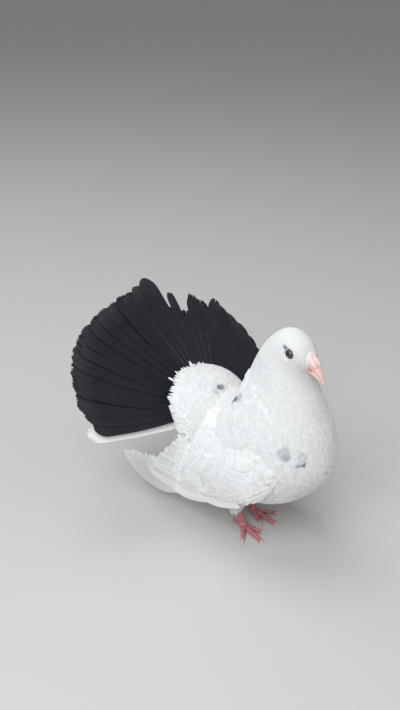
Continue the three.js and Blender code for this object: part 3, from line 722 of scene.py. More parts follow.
COVERTS = ((-9.5, 3, 2), (44.5, 43, 29))  # centre and radii in the tail's axes
UNDERTAIL = ((0, 4, -3), (34, 34, 24))
CUSHION_DEPTH = 4.5
THIGH_RADIUS, HOCK_RADIUS = 13, 4.5
VOXEL, SOFTENINGS = 0.0013, 12
parts = [body_at(stations, turns, -coat_depth(stations)), pad_rings(1), pad_rings(-1)]
parts += [ellipsoid_rings(c, [r - CUSHION_DEPTH for r in size]) for c, size in (COVERTS, UNDERTAIL)]
parts += [ring_limb(*thigh_ends(side), THIGH_RADIUS, HOCK_RADIUS) for side, _ in SIDES]
skin_material = plain_material("skin_under_coat", (0.86, 0.84, 0.81), 0.8)
blank = build("skin_blank", *tubes(parts), skin_material)
melt = blank.modifiers.new("melt", "REMESH")
melt.mode, melt.voxel_size, melt.adaptivity = "VOXEL", VOXEL, 0.0
soften = blank.modifiers.new("soften", "SMOOTH")
soften.factor, soften.iterations = 0.5, SOFTENINGS
melted = bpy.data.meshes.new_from_object(blank.evaluated_get(bpy.context.evaluated_depsgraph_get()))
bpy.data.objects.remove(blank)
melted.name = "skin"
skin = bpy.data.objects.new("skin", melted)
bpy.context.scene.collection.objects.link(skin)
melted.polygons.foreach_set("use_smooth", np.ones(len(melted.polygons), dtype=bool))
dress(skin, "white_plumage", "torso", "neck", "head", "thigh_left", "thigh_right")
print("skin faces:", len(melted.polygons))

# %% [markdown]
# ## Small feathers of the body
# Thousands of small feathers lie over one another like roof tiles, from the bill back to the tail.
# Each one is a thin leaf that follows the body's own surface: its root lies in the skin, and its
# tip just clears the next row. They are set row by row, and every second row is shifted by half a
# feather. The length grows from under two millimetres at the bill to fourteen on the breast.


# %% Leaves that follow a surface
COAT_THICK, RUMP_END = 0.12, -0.12


def leaf_outline(s, root=0.45):
    """Share of the full width along a leaf: it grows as a sine, then closes in a rounded tip."""
    widest, sliver = 0.62, 0.02
    grown = root + (1 - root) * np.sin(np.minimum(s, widest) / widest * np.pi / 2)
    past = np.maximum(0, (s - widest) / (1 - widest))
    return grown * np.sqrt(np.maximum(1 - past**2, 0.0)) + sliver


def normals_of(points, outward):
    """Unit normals of grids of points, from the crossing of their two directions. Each grid's are
    turned so that they face outward."""
    along = np.gradient(points, axis=1)
    across = np.gradient(points, axis=2)
    normals = unit(np.cross(across, along))
    return normals * np.sign(np.sum(normals * outward, axis=-1).mean(axis=(1, 2)))[:, None, None, None]


def tile_rows(t_list, spacing):
    """Roots set row by row round the body: as many as fit at the spacing, each row shifted."""
    stations_, turns_ = [], []
    ring = np.linspace(0, 2 * np.pi, 241)
    for count, t in enumerate(t_list):
        points = body_at(np.full(len(ring), t), ring)
        gone = np.concatenate([[0], np.cumsum(np.linalg.norm(np.diff(points, axis=0), axis=1))])
        many = max(int(gone[-1] / spacing(t)), 4)
        share = (np.arange(many) + 0.5 * (count % 2) + rng.uniform(-0.22, 0.22, many)) / many * gone[-1]
        turns_.append(np.interp(share % gone[-1], gone, ring))
        stations_.append(np.full(many, t) + rng.uniform(-0.3, 0.3, many) * (t_list[1] - t_list[0]))
    return np.concatenate(stations_), np.concatenate(turns_)


def station_steps(start, end, spacing):
    """Stations between two, so that the body's side, belly and back, taken together, move on by
    the spacing each time."""
    fine = np.linspace(start, end, 800)
    lines_ = [body_at(fine, np.full(len(fine), turn)) for turn in (0.0, -np.pi / 2, np.pi / 2)]
    step = sum(np.linalg.norm(np.diff(p, axis=0), axis=1) for p in lines_) / 3
    gone = np.concatenate([[0], np.cumsum(step / spacing(fine[:-1]))])
    return np.interp(np.arange(0, gone[-1]), gone, fine)


def body_tufts(name, start, end, length, width, row_gap, col_gap, rise, keep=None, rows=6, cols=5):
    """A coat piece between two stations. Every size is a function of the station, in millimetres.
    A leaf's height goes from below the skin up to its lift, less a little at its two edges, and
    it leans to one side, so that it lies on its neighbour like a tile."""
    t, turn = tile_rows(station_steps(start, end, row_gap), col_gap)
    if keep is not None:
        kept = keep(body_at(t, turn))
        t, turn = t[kept], turn[kept]
    count = len(t)
    s, k = leaf_grid(rows, cols)
    here = body_at(t, turn)
    nudge = 0.02
    per_station = np.linalg.norm(body_at(t + nudge, turn) - here, axis=1) / nudge
    per_turn = np.linalg.norm(body_at(t, turn + nudge) - here, axis=1) / nudge
    long_ = per_leaf(length(t) * rng.uniform(0.85, 1.15, count))
    wide = per_leaf(width(t) * rng.uniform(0.85, 1.15, count))
    sway = per_leaf(rng.normal(0, 0.09, count))
    lean = per_leaf(rng.normal(0.025, 0.006, count))
    lift = per_leaf(rise(t) * rng.uniform(0.5, 1.4, count))
    depth = per_leaf(coat_depth(t))
    across = k * wide / 2 * leaf_outline(s) + sway * s * long_
    height = -depth * 1.1 * (1 - s) ** 3.4 + lift * s - 0.02 * wide * k**2 * s + lean * k * wide / 2 * s
    t_leaf = np.maximum(per_leaf(t) - s * long_ / per_leaf(per_station), RUMP_END)
    turn_leaf = per_leaf(turn) + across / per_leaf(per_turn)
    middle = body_at(t_leaf, turn_leaf, height)
    normals = normals_of(middle, middle - body_at(t_leaf, turn_leaf, height - 1.0))
    root_uv = np.stack([turn / (2 * np.pi) % 1, (t - start) / (end - start)], axis=1) * 0.99 + 0.005
    marks = {
        "shade": per_leaf(rng.uniform(0, 1, count)),
        "dark": marked(middle),
        "blush": per_leaf(marked(middle[:, -2, cols // 2], BLUSH)),
    }
    print(name, count, "feathers")
    return leaves(name, middle, normals, COAT_THICK, root_uv, white_coat, marks)


def clear_of_wing(points):
    """True where the body isn't under a wing."""
    a, up = -points[:, 1], points[:, 2]
    row = wing_row(np.clip(a, -100, 66))
    left = points[:, 0] > 0
    low = np.where(left, row[:, LEFT_LOW], row[:, LOW])
    high = np.where(left, row[:, LEFT_HIGH], row[:, HIGH])
    behind_fold, above_low, below_high, off_middle = a < 58, up > low + 10, up < high - 24, 12
    return ~(behind_fold & above_low & below_high & (np.abs(points[:, 0]) > off_middle))


def over_body(*values):
    """A size along the body, given at the rump, breast, neck, nape, crown and bill."""
    return lambda t: np.interp(t, [0, 7, 9.5, 12, 14.5, 18], values)


def clear_of_eye(points):
    """True where the head has feathers: not on the eye and the bare skin round it."""
    bare_radius, flatter, middle_half = 5.4, 1.05, 6
    away = np.hypot(-points[:, 1] - EYE_AHEAD, (points[:, 2] - EYE_UP) * flatter)
    return (away > bare_radius) | (np.abs(points[:, 0]) < middle_half)


dress(body_tufts(
    "body_feathers", 0.05, NECK_BASE + 0.2,
    length=over_body(17, 14, 11, 8, 4, 2), width=over_body(12, 9, 7, 5, 3, 2),
    row_gap=over_body(5.2, 4.2, 3.2, 2.6, 1.6, 0.9), col_gap=over_body(5.4, 4.4, 3.4, 2.6, 1.6, 0.9),
    rise=over_body(0.3, 0.22, 0.2, 0.16, 0.1, 0.05), keep=clear_of_wing,
), "white_plumage")
dress(body_tufts(
    "neck_feathers", NECK_BASE, HEAD_BASE + 0.3,
    length=over_body(17, 14, 10, 6.5, 4, 2), width=over_body(12, 8, 5.6, 3.6, 2.4, 1.6),
    row_gap=over_body(5.2, 4.2, 2.6, 1.9, 1.4, 0.9), col_gap=over_body(5.4, 4.4, 2.6, 1.8, 1.3, 0.9),
    rise=over_body(0.3, 0.25, 0.3, 0.2, 0.1, 0.05),
), "white_plumage")
dress(body_tufts(
    "head_feathers", HEAD_BASE, 17.7,
    length=over_body(17, 14, 10, 5.6, 3.4, 1.5), width=over_body(12, 8, 5.6, 2.9, 1.9, 1.0),
    row_gap=over_body(5, 4, 2.4, 1.5, 1.05, 0.62), col_gap=over_body(5, 4, 2.4, 1.4, 1.0, 0.62),
    rise=over_body(0.3, 0.3, 0.2, 0.13, 0.08, 0.04), keep=clear_of_eye, rows=5, cols=3,
), "white_plumage")

# %% [markdown]
# ## Wings
# The front of the wing carries small tile-like coverts. Behind them come longer coverts, then the
# secondaries, and last the primaries, whose tips hang low behind the feet. Every feather is a leaf
# on the wing's own sheet, bowed a little downward, and each one covers the upper edge of the next
# lower one. The short ones are set in rows as on the body, and the long ones in tiers one by one.


# %% Leaves on the wing
def wing_leaves(name, side, root, tip, half, roll, shape, material):
    """Leaves from roots to tips, each [forward, up, height], arched across, rolled and bowed. The
    height runs from the root's to the tip's, sooner if the rush is above one, and the whole leaf
    sinks where it nears the wing's upper edge, so that the back's coat covers it."""
    rows, cols, thick, bow, arch, rush, sink = shape
    count = len(root)
    s, k = leaf_grid(rows, cols)
    s3, k3 = np.broadcast_to(s, (count, rows, cols)), np.broadcast_to(k, (count, rows, cols))
    line = root[:, None, None, :] + (tip - root)[:, None, None, :] * s3[..., None]
    a, b = line[..., 0], line[..., 1] + bow * 4 * s3 * (1 - s3)
    h = per_leaf(tip[:, 2]) + per_leaf((root - tip)[:, 2]) * (1 - s3) ** rush
    run = unit((tip - root)[:, :2])
    wide = per_leaf(half) * leaf_outline(s3, 0.5) * k3
    a, b = a - per_leaf(run[:, 1]) * wide, b + per_leaf(run[:, 0]) * wide
    near_top = smooth_step(edge_share(wing_row(a), b), 0.66, 1.0)
    h = h - arch * np.abs(wide) * np.abs(k3) - per_leaf(np.broadcast_to(roll, count)) * wide - sink * near_top
    middle = wing_at(side, a, b, h)
    normals = normals_of(middle, np.array([side, 0, 0.25]))
    uv = np.stack([(root[:, 0] + 110) / 190, (root[:, 1] + 5) / 145], axis=1)
    marks = {
        "shade": per_leaf(rng.uniform(0, 1, count)),
        "dark": per_leaf(marked(middle[:, 0, cols // 2])),
    }
    return leaves(name, middle, normals, thick, uv, material, marks)


def wing_roots(a_from, a_to, gap_a, gap_b):
    """Roots in shifted rows over the wing, kept off its lower and upper edge."""
    off_low, off_high = 4.0, 10.0
    roots = []
    for count, a in enumerate(np.arange(a_from, a_to, -gap_a)):
        lower, upper = wing_row(a)[[LOW, HIGH]]
        b = np.arange(lower + off_low + gap_b * 0.5 * (count % 2), upper - off_high, gap_b)
        roots.append(np.stack([np.full(len(b), a), b], axis=1))
    roots = np.concatenate(roots)
    return roots + rng.uniform(-0.25, 0.25, roots.shape) * (gap_a, gap_b)


def wing_lie(roots):
    """The way the wing's feathers point: straight back at the top, a little downward at the bottom."""
    slope = -0.42 + 0.40 * edge_share(wing_row(roots[:, 0]), roots[:, 1])
    return unit(np.stack([-np.ones(len(roots)), slope], axis=1))


def small_coverts(side, label):
    """The tiles of the wing's front, larger towards the rear."""
    roots = wing_roots(66, -34, 4.6, 5.0)
    to_rear = smooth_step(60 - roots[:, 0], 0, 90)
    ends = roots + wing_lie(roots) * ((11 + 9 * to_rear) * rng.uniform(0.88, 1.12, len(roots)))[:, None]
    row = wing_row(roots[:, 0])
    root_pad = pad_height(roots[:, 0], edge_share(row, roots[:, 1]))
    tip_pad = pad_height(ends[:, 0], np.clip(edge_share(row, ends[:, 1]), 0, 1))
    root = np.column_stack([roots, root_pad - 2.2])
    tip = np.column_stack([ends, tip_pad + 0.2])
    half = (4.2 + 2.0 * to_rear) * rng.uniform(0.9, 1.1, len(roots))
    roll = rng.normal(0.025, 0.006, len(roots))
    shape = (6, 5, COAT_THICK, 0.0, 0.03, 3.0, 0.0)
    made = wing_leaves(f"wing_small_coverts_{label}", side, root, tip, half, roll, shape, white_coat)
    dress(made, "white_plumage", f"wing_{label}")


def tier(count, half, root, root_step, tip, tip_step):
    """Roots, tips and half widths of a tier of long feathers, evenly stepped with small variation."""
    n = np.arange(count)[:, None]
    roots = np.array(root, dtype=float) + np.array(root_step) * n
    tips = np.array(tip, dtype=float) + np.array(tip_step) * n
    tips[:, :2] += rng.normal(0, 0.8, (count, 2))
    return roots, tips, np.full(count, half) * rng.uniform(0.96, 1.04, count)


def long_feathers(side, label):
    """Primaries, secondaries, greater and median coverts, from the lowest feather up. A row has
    the tier's name, how far its feathers bow and sink at the wing's upper edge, and the tier: how
    many, their half width, the first root, its step, the first tip, its step."""
    tiers = [
        ("primaries", -15, 0, (12, 9.5, (-38, 40, -2), (0, 3.0, 0.0), (-142, 28.5, -0.6), (5.4, 2.2, 0.1))),
        ("secondaries", -4, 5, (10, 9.5, (-4, 48, -1), (0, 5.2, 0.05), (-88, 38, 0.4), (3.9, 5.4, 0.12))),
        ("greater_coverts", -3, 9, (9, 7.5, (0, 50, 0.6), (0, 5.2, 0.05), (-50, 33, 3.2), (1.7, 6.6, 0.06))),
        ("median_coverts", -2, 10, (8, 7.0, (30, 58, 1.2), (0, 4.9, 0.02), (-17, 46, 5.2), (1, 6.6, 0.04))),
    ]
    made_tiers = [tier(*sizes) for _, _, _, sizes in tiers]
    for (title, bow, sink, _), (root, tip, half) in zip(tiers, made_tiers):
        shape = (26, 11, 0.28, bow, 0.05, 1.0, sink)
        made = wing_leaves(f"wing_{title}_{label}", side, root, tip, half, 0.08, shape, white_quill)
        dress(made, "white_plumage")


for side, label in SIDES:
    small_coverts(side, label)
    long_feathers(side, label)
print("wings feathered")

# %% [markdown]
# ## Tail
# The fan is what the breed is known for. Twenty-eight black feathers stand side by side, each with
# a rachis from root to tip, and the edge away from the middle lies in front of its neighbour. Their
# tips are worn, so the rim of each vane is cut back by uneven notches. The outermost feather on the
# bird's right is white.

# %% Tail feathers
TAIL = np.array([  # degrees from the middle, length, half width, raggedness of the tip, lift at the tip
    [-77.5, 135, 11.0, 0.5, 0.0], [-72.5, 141, 13.5, 0.6, 0.2], [-67.0, 146, 14.5, 0.6, 0.1],
    [-61.5, 149, 15.0, 0.5, 0.3], [-55.5, 151, 15.5, 0.7, 0.0], [-49.5, 152, 15.5, 0.5, 0.2],
    [-43.5, 151, 15.5, 0.5, 0.0], [-37.5, 150, 15.0, 0.4, 0.3], [-31.5, 147, 15.0, 0.4, 0.1],
    [-25.0, 146, 14.5, 0.3, 0.4], [-19.0, 144, 14.0, 0.4, 0.1], [-13.0, 145, 13.5, 0.3, 0.3],
    [-7.0, 145, 13.0, 0.4, 0.0], [-1.5, 149, 12.0, 0.3, 0.5], [4.3, 155, 11.5, 0.1, 1.8],
    [9.0, 122, 9.0, 1.0, -0.5], [14.0, 138, 5.5, 1.2, 0.4], [19.5, 118, 7.5, 1.4, -0.6],
    [25.5, 141, 8.0, 1.2, 0.8], [31.5, 138, 10.0, 1.3, 0.0], [37.5, 148, 8.5, 1.1, 0.6],
    [43.0, 143, 12.5, 0.7, 0.0], [48.5, 139, 13.5, 0.5, 0.2], [54.0, 136, 13.5, 0.4, 0.1],
    [59.5, 130, 13.5, 0.5, 0.2], [65.0, 125, 13.0, 0.4, 0.0], [70.0, 122, 12.5, 0.5, 0.2],
    [75.0, 119, 12.0, 0.4, 0.0],
])
TAIL_ROOT, TAIL_TILT, TOP_FEATHER = 36.0, 0.07, 4.3
VANE_ROWS, VANE_COLS, VANE_THICK = 44, 25, 0.18
tail_angle = TAIL[:, 0]


def vane_outline(s):
    """Share of the full width along a long vane: it grows to two thirds, keeps its width, and is
    rounded off over the last tenth."""
    root, full_from, round_from, round_over, sliver = 0.35, 0.7, 0.87, 0.135, 0.015
    grown = root + (1 - root) * np.sin(np.minimum(s, full_from) / full_from * np.pi / 2)
    past = np.clip((s - round_from) / round_over, 0, 1)
    return grown * np.sqrt(np.maximum(1 - past**2.4, 0.0)) + sliver


def fan_place(angle, reach, off=0.0):
    """Places x and y in the fan: out along a spoke, and off it to the side of larger angles."""
    return reach * np.sin(angle) + off * np.cos(angle), reach * np.cos(angle) - off * np.sin(angle)


def tail_leaves(name, table, near, height, tilt, material, low=0.0):
    """Vanes along spokes of the fan. Uneven cuts across the vane set its rim back, deeper where
    the feather is more ragged, and each vane sways a little to one side and waves out of the fan."""
    angle, length, half, rag, rise = table.T[:, :, None, None]
    count, deep_cut, fine_cut = len(table), 0.075, 0.008
    shape = (count, VANE_ROWS, VANE_COLS)
    s, k = (np.broadcast_to(v, shape) for v in leaf_grid(VANE_ROWS, VANE_COLS))
    per_strip = (count, 1, VANE_COLS)
    cut = rng.uniform(0, 1, per_strip) ** 1.8 * deep_cut * rag + rng.uniform(0, fine_cut, per_strip)
    cut = cut * np.abs(k[:, :1]) ** 0.3
    span = s * (1 - cut * smooth_step(s, 0.55, 1.0))
    turn = np.radians(angle)
    reach = near + (length - near) * span
    wide = half * vane_outline(s) * k
    sway = per_leaf(rng.normal(0, 0.012, count)) * (reach - near) * s
    wave = 0.35 * np.sin(2.5 * s + per_leaf(rng.uniform(0, 6, count))) * s * np.abs(k)
    off = height + rise * s**2 - 0.02 * np.abs(wide) * np.abs(k) + per_leaf(tilt) * wide + wave
    x, y = fan_place(turn, reach, wide + sway)
    middle = tail_at(x, y - low, off)
    spoke = turn[:, 0, 0]
    uv = np.stack([0.5 + 0.45 * np.sin(spoke), 0.5 + 0.45 * np.cos(spoke)], axis=1)
    marks = {"shade": per_leaf(rng.uniform(0, 1, count)), "wear": per_leaf(rng.uniform(0, 1, count))}
    return leaves(name, middle, normals_of(middle, tail_front), VANE_THICK, uv, material, marks)


tail_tilts = TAIL_TILT * np.clip(tail_angle / 8, -1, 1) * (np.abs(tail_angle - TOP_FEATHER) > 1)
black_vanes = tail_leaves("tail_vanes", TAIL, TAIL_ROOT, 0.0, tail_tilts, black_quill)
dress(black_vanes, "black_plumage", "tail_fan")
white_row = np.array([[-78.0, 141, 9.0, 0.3, 0.0]])
white_vane = tail_leaves("tail_white_vane", white_row, 14.0, -4.8, np.zeros(1), white_quill, low=4.5)
dress(white_vane, "white_plumage", "tail_outer_feather")


def rachis_tubes(table, near):
    """A thin tapering shaft along the middle of each vane, sunk in it but for its crest."""
    root_radius, sunk, flatter = 0.62, 0.12, 0.7
    rings = []
    for angle, length, _, _, rise in table:
        s, around = ring_grid(0, 0.96, 24, 6)
        radius = root_radius * (1 - 0.85 * s)
        x, y = fan_place(np.radians(angle), near + (length - near) * s, radius * np.cos(around))
        rings.append(tail_at(x, y, rise * s**2 - sunk + radius * flatter * np.sin(around)))
    return tubes(rings)


shaft_nodes = Nodes("rachis")
shaft_tone = shaft_nodes.mix(shaft_nodes.noise(90.0, 2.0), (0.008, 0.009, 0.013, 1), (0.022, 0.024, 0.03, 1))
# The pale mark paints a highlight into the shafts' colour, light grey where they catch the light.
shaft_tone = shaft_nodes.mix(shaft_nodes.mark("pale"), shaft_tone, (0.6, 0.6, 0.6, 1))
shaft_nodes.look({"Base Color": shaft_tone, "Roughness": 0.35})
shaft_points, shaft_faces = rachis_tubes(TAIL, TAIL_ROOT)
shaft_angles = np.repeat(tail_angle, len(shaft_points) // len(TAIL))
# Painted highlights: the places where the shafts catch the light are painted pale.
PAINTED_SHAFT_HIGHLIGHTS = (  # the shafts that catch the light: angle, reach, half length, strength
    (0.1, 142, 11, 1.0), (-37.6, 98, 23, 0.32), (-60.0, 100, 33, 0.30), (-72.0, 77, 20, 0.34),
)
pale = np.zeros(len(shaft_points))
for angle, reach, half_length, strength in PAINTED_SHAFT_HIGHLIGHTS:
    on = tail_at(*fan_place(np.radians(angle), reach))
    away = np.linalg.norm(shaft_points - on, axis=1)
    near_line = tail_angle[np.abs(tail_angle - angle).argmin()] == shaft_angles
    pale = np.maximum(pale, strength * near_line * (1 - smooth_step(away, 0.7 * half_length, half_length)))
shafts = build("tail_shafts", shaft_points, shaft_faces, shaft_nodes.material, None, {"pale": pale})
dress(shafts, "black_plumage")
print("tail feathers:", len(TAIL) + len(white_row))

# %% [markdown]
# ## The cushion in front of the tail
# Above the rump the coverts swell into a white cushion, whose feathers lie outward and end in loose
# tips on the black fan. The cushion is an egg shape in the tail's axes. Its feathers are rooted all
# over it and point away from its middle, longer towards the rim. A smaller cushion lies under the
# tail.


# %% Cushion feathers
SMALLEST_RING, ROOT_DEPTH, EDGE_FALL = 0.12, 4.0, 0.3


def cushion_tufts(name, centre, radii, facing, roots, length, width, lifts):
    """Leaves over an ellipsoid in the tail's axes. A root is a polar angle from its middle and a turn
    round it. Every leaf runs on along its own spoke, hugging the ellipsoid, and beyond its widest
    place goes straight on with a small fall."""
    polar, around = roots
    count = len(polar)
    s, k = leaf_grid(7, 5)
    mean_radius = (radii[0] + radii[1]) / 2
    long_ = per_leaf(length * rng.uniform(0.8, 1.2, count))
    wide = per_leaf(width * rng.uniform(0.85, 1.15, count))
    lie = per_leaf(polar) + s * long_ / mean_radius
    lie_in = np.minimum(lie, np.pi / 2)
    ring_radius = mean_radius * np.maximum(np.sin(lie_in), SMALLEST_RING)
    sway = per_leaf(rng.normal(0, 0.09, count))
    spin = per_leaf(around) + (k * wide / 2 * leaf_outline(s) + sway * s * long_) / ring_radius
    lift = per_leaf(rng.uniform(*lifts, count))
    grow = -ROOT_DEPTH * (1 - s) ** 3.2 + lift * s - 0.02 * wide * k**2
    past = np.maximum(lie - np.pi / 2, 0) * mean_radius
    out = np.sin(lie_in)
    x = centre[0] + ((radii[0] + grow) * out + past) * np.cos(spin)
    y = centre[1] + ((radii[1] + grow) * out + past) * np.sin(spin)
    h = centre[2] + facing * ((radii[2] + grow) * np.cos(lie_in) - past * EDGE_FALL)
    middle = in_tail(x, y, h)
    normals = normals_of(middle, middle - in_tail(*centre))
    uv = 0.5 + 0.45 * np.stack([np.cos(around), np.sin(around)], axis=1) * (polar / polar.max())[:, None]
    marks = {"shade": per_leaf(rng.uniform(0, 1, count)), "dark": marked(middle)}
    return leaves(name, middle, normals, 0.1, uv, white_coat, marks)


def sunflower(count, from_angle, to_angle):
    """Roots spread evenly over a cap or belt of a ball: the golden turn between one and the next."""
    n = np.arange(count) + 0.5
    start, end = np.cos(from_angle), np.cos(to_angle)
    polar = np.arccos(np.clip(start + (end - start) * n / count, -1, 1)) + rng.normal(0, 0.015, count)
    return np.abs(polar), np.pi * (1 + 5**0.5) * n


FRINGE_BELT = (1.15, 1.5)
FLAT, LOOSE = (0.0, 0.5), (-0.3, 1.2)
coats = (  # name, ellipsoid, way it faces, number and belt of roots, length, width, lift, solids
    ("cushion_feathers", COVERTS, 1, (1500, 0, 1.24), 13, 6.5, FLAT, ["tail_coverts"]),
    ("cushion_fringe", COVERTS, 1, (900, *FRINGE_BELT), 8, 2.2, LOOSE, []),
    ("undertail_feathers", UNDERTAIL, -1, (700, 0, 1.25), 12, 6.5, FLAT, ["undertail_coverts"]),
    ("undertail_fringe", UNDERTAIL, -1, (500, *FRINGE_BELT), 9, 2.4, LOOSE, []),
)
for name, (centre, radii), facing, belt, length, width, lifts, solids in coats:
    made = cushion_tufts(name, centre, radii, facing, sunflower(*belt), length, width, lifts)
    dress(made, "white_plumage", *solids)
print("cushions feathered")

# %% [markdown]
# ## Loose feathers rooted in the skin
# Behind the legs, inside the wings and on the shoulders the feathers are soft and lie less neatly.
# No single formula holds for those places, because parts melt into one another there. So the roots
# are taken from the skin itself: one point of it in each small cube of space. A leaf starts there,
# points along a given flow, keeps flat to the skin and bends with it.


# %% Feathers rooted in the skin
def skin_read(collection, field):
    """Three numbers for each point of the skin."""
    values = np.empty(3 * len(collection), dtype=np.float32)
    collection.foreach_get(field, values)
    return values.reshape(-1, 3)


skin_places = skin_read(melted.vertices, "co") * 1000.0 - SHIFT
skin_normals = skin_read(melted.vertex_normals, "vector").astype(float)
SKIN_BEND = 38.0


def skin_tufts(name, chosen, flow, gap, length, width, rise):
    """Leaves on chosen points of the skin. The height is the coat's rise times one minus the square
    of what is left of the leaf, less the depth of the root and the fall of a circle of the skin's
    mean bend."""
    points, normals = skin_places[chosen], skin_normals[chosen]
    some = np.unique(np.floor(points / gap).astype(int), axis=0, return_index=True)[1]
    points, normals = points[some], normals[some]
    count, root_depth = len(points), 1.0
    way = unit(np.array(flow) + rng.normal(0, 0.12, (count, 3)))
    way = unit(way - normals * np.sum(way * normals, axis=1, keepdims=True))
    s, k = leaf_grid(6, 5)
    long_ = per_leaf(length * rng.uniform(0.8, 1.2, count))
    wide = per_leaf(width * rng.uniform(0.8, 1.2, count))
    along, across = s * long_, k * wide / 2 * leaf_outline(s)
    height = rise * (1 - (1 - s) ** 2) - root_depth - (along**2 + across**2) / (2 * SKIN_BEND)
    height = height + per_leaf(rng.uniform(0, 0.6, count)) * s
    middle = points[:, None, None, :]
    for axis, step in ((way, along), (np.cross(way, normals), across), (normals, height)):
        middle = middle + axis[:, None, None, :] * step[..., None]
    upper_side = np.broadcast_to(normals[:, None, None, :], middle.shape)
    uv = np.stack([(points[:, 1] + 90) / 260, (points[:, 2] + 5) / 235], axis=1)
    marks = {"shade": per_leaf(rng.uniform(0, 1, count)), "dark": marked(middle)}
    print(name, count, "feathers")
    return leaves(name, middle, upper_side, 0.1, uv, white_coat, marks)


ahead_of, left_of, up_of = -skin_places[:, 1], skin_places[:, 0], skin_places[:, 2]
off_tail = (skin_places - APEX) @ tail_front
inward = skin_normals[:, 0] * np.sign(left_of)  # below zero where the skin faces the bird's middle
FACES_IN, FACES_OUT = -0.55, -0.2
vent = (ahead_of < -26) & (np.abs(left_of) < 38) & (off_tail < 3) & (inward > -0.3)
dress(skin_tufts("vent_feathers", vent, spot(-0.8, 0, 0.5), 3.6, 13, 7, 4.6), "white_plumage")
lining = (ahead_of > -22) & (ahead_of < 45) & (np.abs(left_of) > 24) & (off_tail < 20) & (inward < FACES_IN)
dress(skin_tufts("wing_linings", lining, spot(-1, 0, -0.4), 4.4, 12, 7, 1.8), "white_plumage")
near_row = wing_row(ahead_of)
wing_level = np.where(left_of > 0, edge_share(near_row, up_of, LEFT_LOW), edge_share(near_row, up_of))
shoulder_rear = np.where(wing_level > 0.9, -50, -22)
shoulder = (ahead_of > shoulder_rear) & (ahead_of < 58) & (np.abs(left_of) > 14) & (up_of > 84)
shoulder &= (wing_level > 0.66) & (wing_level < 1.5) & (inward > FACES_OUT)
dress(skin_tufts("scapulars", shoulder, spot(-1, 0, -0.18), 3.8, 15, 8.5, 5.2), "white_plumage")

# %% [markdown]
# ## Thighs
# The thighs are covered with short soft feathers that lie down the leg and end in a loose fringe
# above the heel.


# %% Thigh feathers
def thigh_tufts(side, label):
    """Leaves round the tapered thigh, in shifted rings, pointing down the leg."""
    start, end = thigh_ends(side)
    length = np.linalg.norm(end - start)
    along, across, up = limb_axes(start, end)
    top_radius, end_radius = 15, 6
    rings = np.linspace(0.35, 0.95, 14)
    fit = [int(34 - 18 * r) for r in rings]
    s0 = np.repeat(rings, fit)
    turn = np.concatenate([ring_grid(0, 0, 1, many)[1][0] + 0.1 * i for i, many in enumerate(fit)])
    count = len(s0)
    turn = turn + rng.normal(0, 0.06, count)
    s, k = leaf_grid(6, 5)
    long_ = 9 * per_leaf(rng.uniform(0.8, 1.2, count))
    place = per_leaf(s0) + s * long_ / length
    radius = top_radius + (end_radius - top_radius) * np.minimum(place, 1.0) + (-2.5 + 2.8 * s - 0.5 * k**2)
    spin = per_leaf(turn) + k * 2.8 * leaf_outline(s) / radius
    ring = oval(across, up, 1.0, 1.0, spin)
    middle = start + along * (place * length)[..., None] + ring * radius[..., None]
    uv = np.stack([turn / (2 * np.pi) % 1, s0], axis=1)
    marks = {"shade": per_leaf(rng.uniform(0, 1, count)), "dark": np.zeros((1, 1, 1))}
    name = f"thigh_feathers_{label}"
    dress(leaves(name, middle, normals_of(middle, ring), COAT_THICK, uv, white_coat, marks), "white_plumage")


for side, label in SIDES:
    thigh_tufts(side, label)

# %% [markdown]
# ## Bill, cere and lips
# The bill is pale pink horn, bent down at the tip, and a thin redder lip follows the line where its
# halves meet. Above its base sits the cere, two soft lobes with a chalky bloom. The halves are
# profiles carried along a bent line, and each lobe is an egg pressed to the bill.


# %% Bill
def bent_line(base, bend, tip, s):
    """A curve from the base to the tip that is drawn towards the bend (a parabola), and its way."""
    points = [spot(p[0], 0, p[1]) for p in (base, bend, tip)]
    s = np.asarray(s)[..., None]
    place = points[0] * (1 - s) ** 2 + points[1] * 2 * s * (1 - s) + points[2] * s**2
    way = 2 * (1 - s) * (points[1] - points[0]) + 2 * s * (points[2] - points[1])
    return place, unit(way)


def half_bill(base, bend, tip, wide, high, keel):
    """Rings along the bent line, tapering to the tip, and fuller on the side that meets the other
    half of the bill: below if the keel is -1, above if it is 1."""
    fuller, boxier = 1.16, 0.9
    s, turn = ring_grid(0, 1, 40, 32)
    place, way = bent_line(base, bend, tip, s)
    across = np.array([1.0, 0, 0])
    up = unit(np.cross(way, across))
    taper = (1 - 0.9 * s**1.6)[..., None]
    sine = np.sin(turn)
    flat = np.where(sine * keel > 0, sine * fuller, sine)[..., None]
    sharp = np.sign(np.cos(turn)) * np.abs(np.cos(turn)) ** boxier
    return place + across * (wide * taper * sharp[..., None]) + up * (high * taper * flat)


def horn_material(name, pale, deep, tip_place, tip_reach):
    """Horn whose colour goes from one at the tip to another a reach away, with fine growth lines."""
    nodes = Nodes(name)
    here, tip = nodes.add("ShaderNodeTexCoord").outputs["Object"], tuple((tip_place + SHIFT) / 1000)
    away = nodes.add("ShaderNodeVectorMath", {0: here, 1: tip}, operation="DISTANCE")
    share = nodes.math("DIVIDE", away.outputs["Value"], tip_reach, clamp=True)
    mottle = nodes.math("MULTIPLY", nodes.noise(420.0, 4.0), 0.3)
    nodes.look({
        "Base Color": nodes.mix(nodes.math("ADD", share, mottle, clamp=True), pale, deep),
        "Roughness": 0.38, "Subsurface Weight": 0.15, "Subsurface Radius": (1.0, 0.4, 0.3),
        "Subsurface Scale": 0.002,
    })
    nodes.bump(nodes.noise(1500.0, 2.0), 0.15, 0.0002)
    return nodes.material


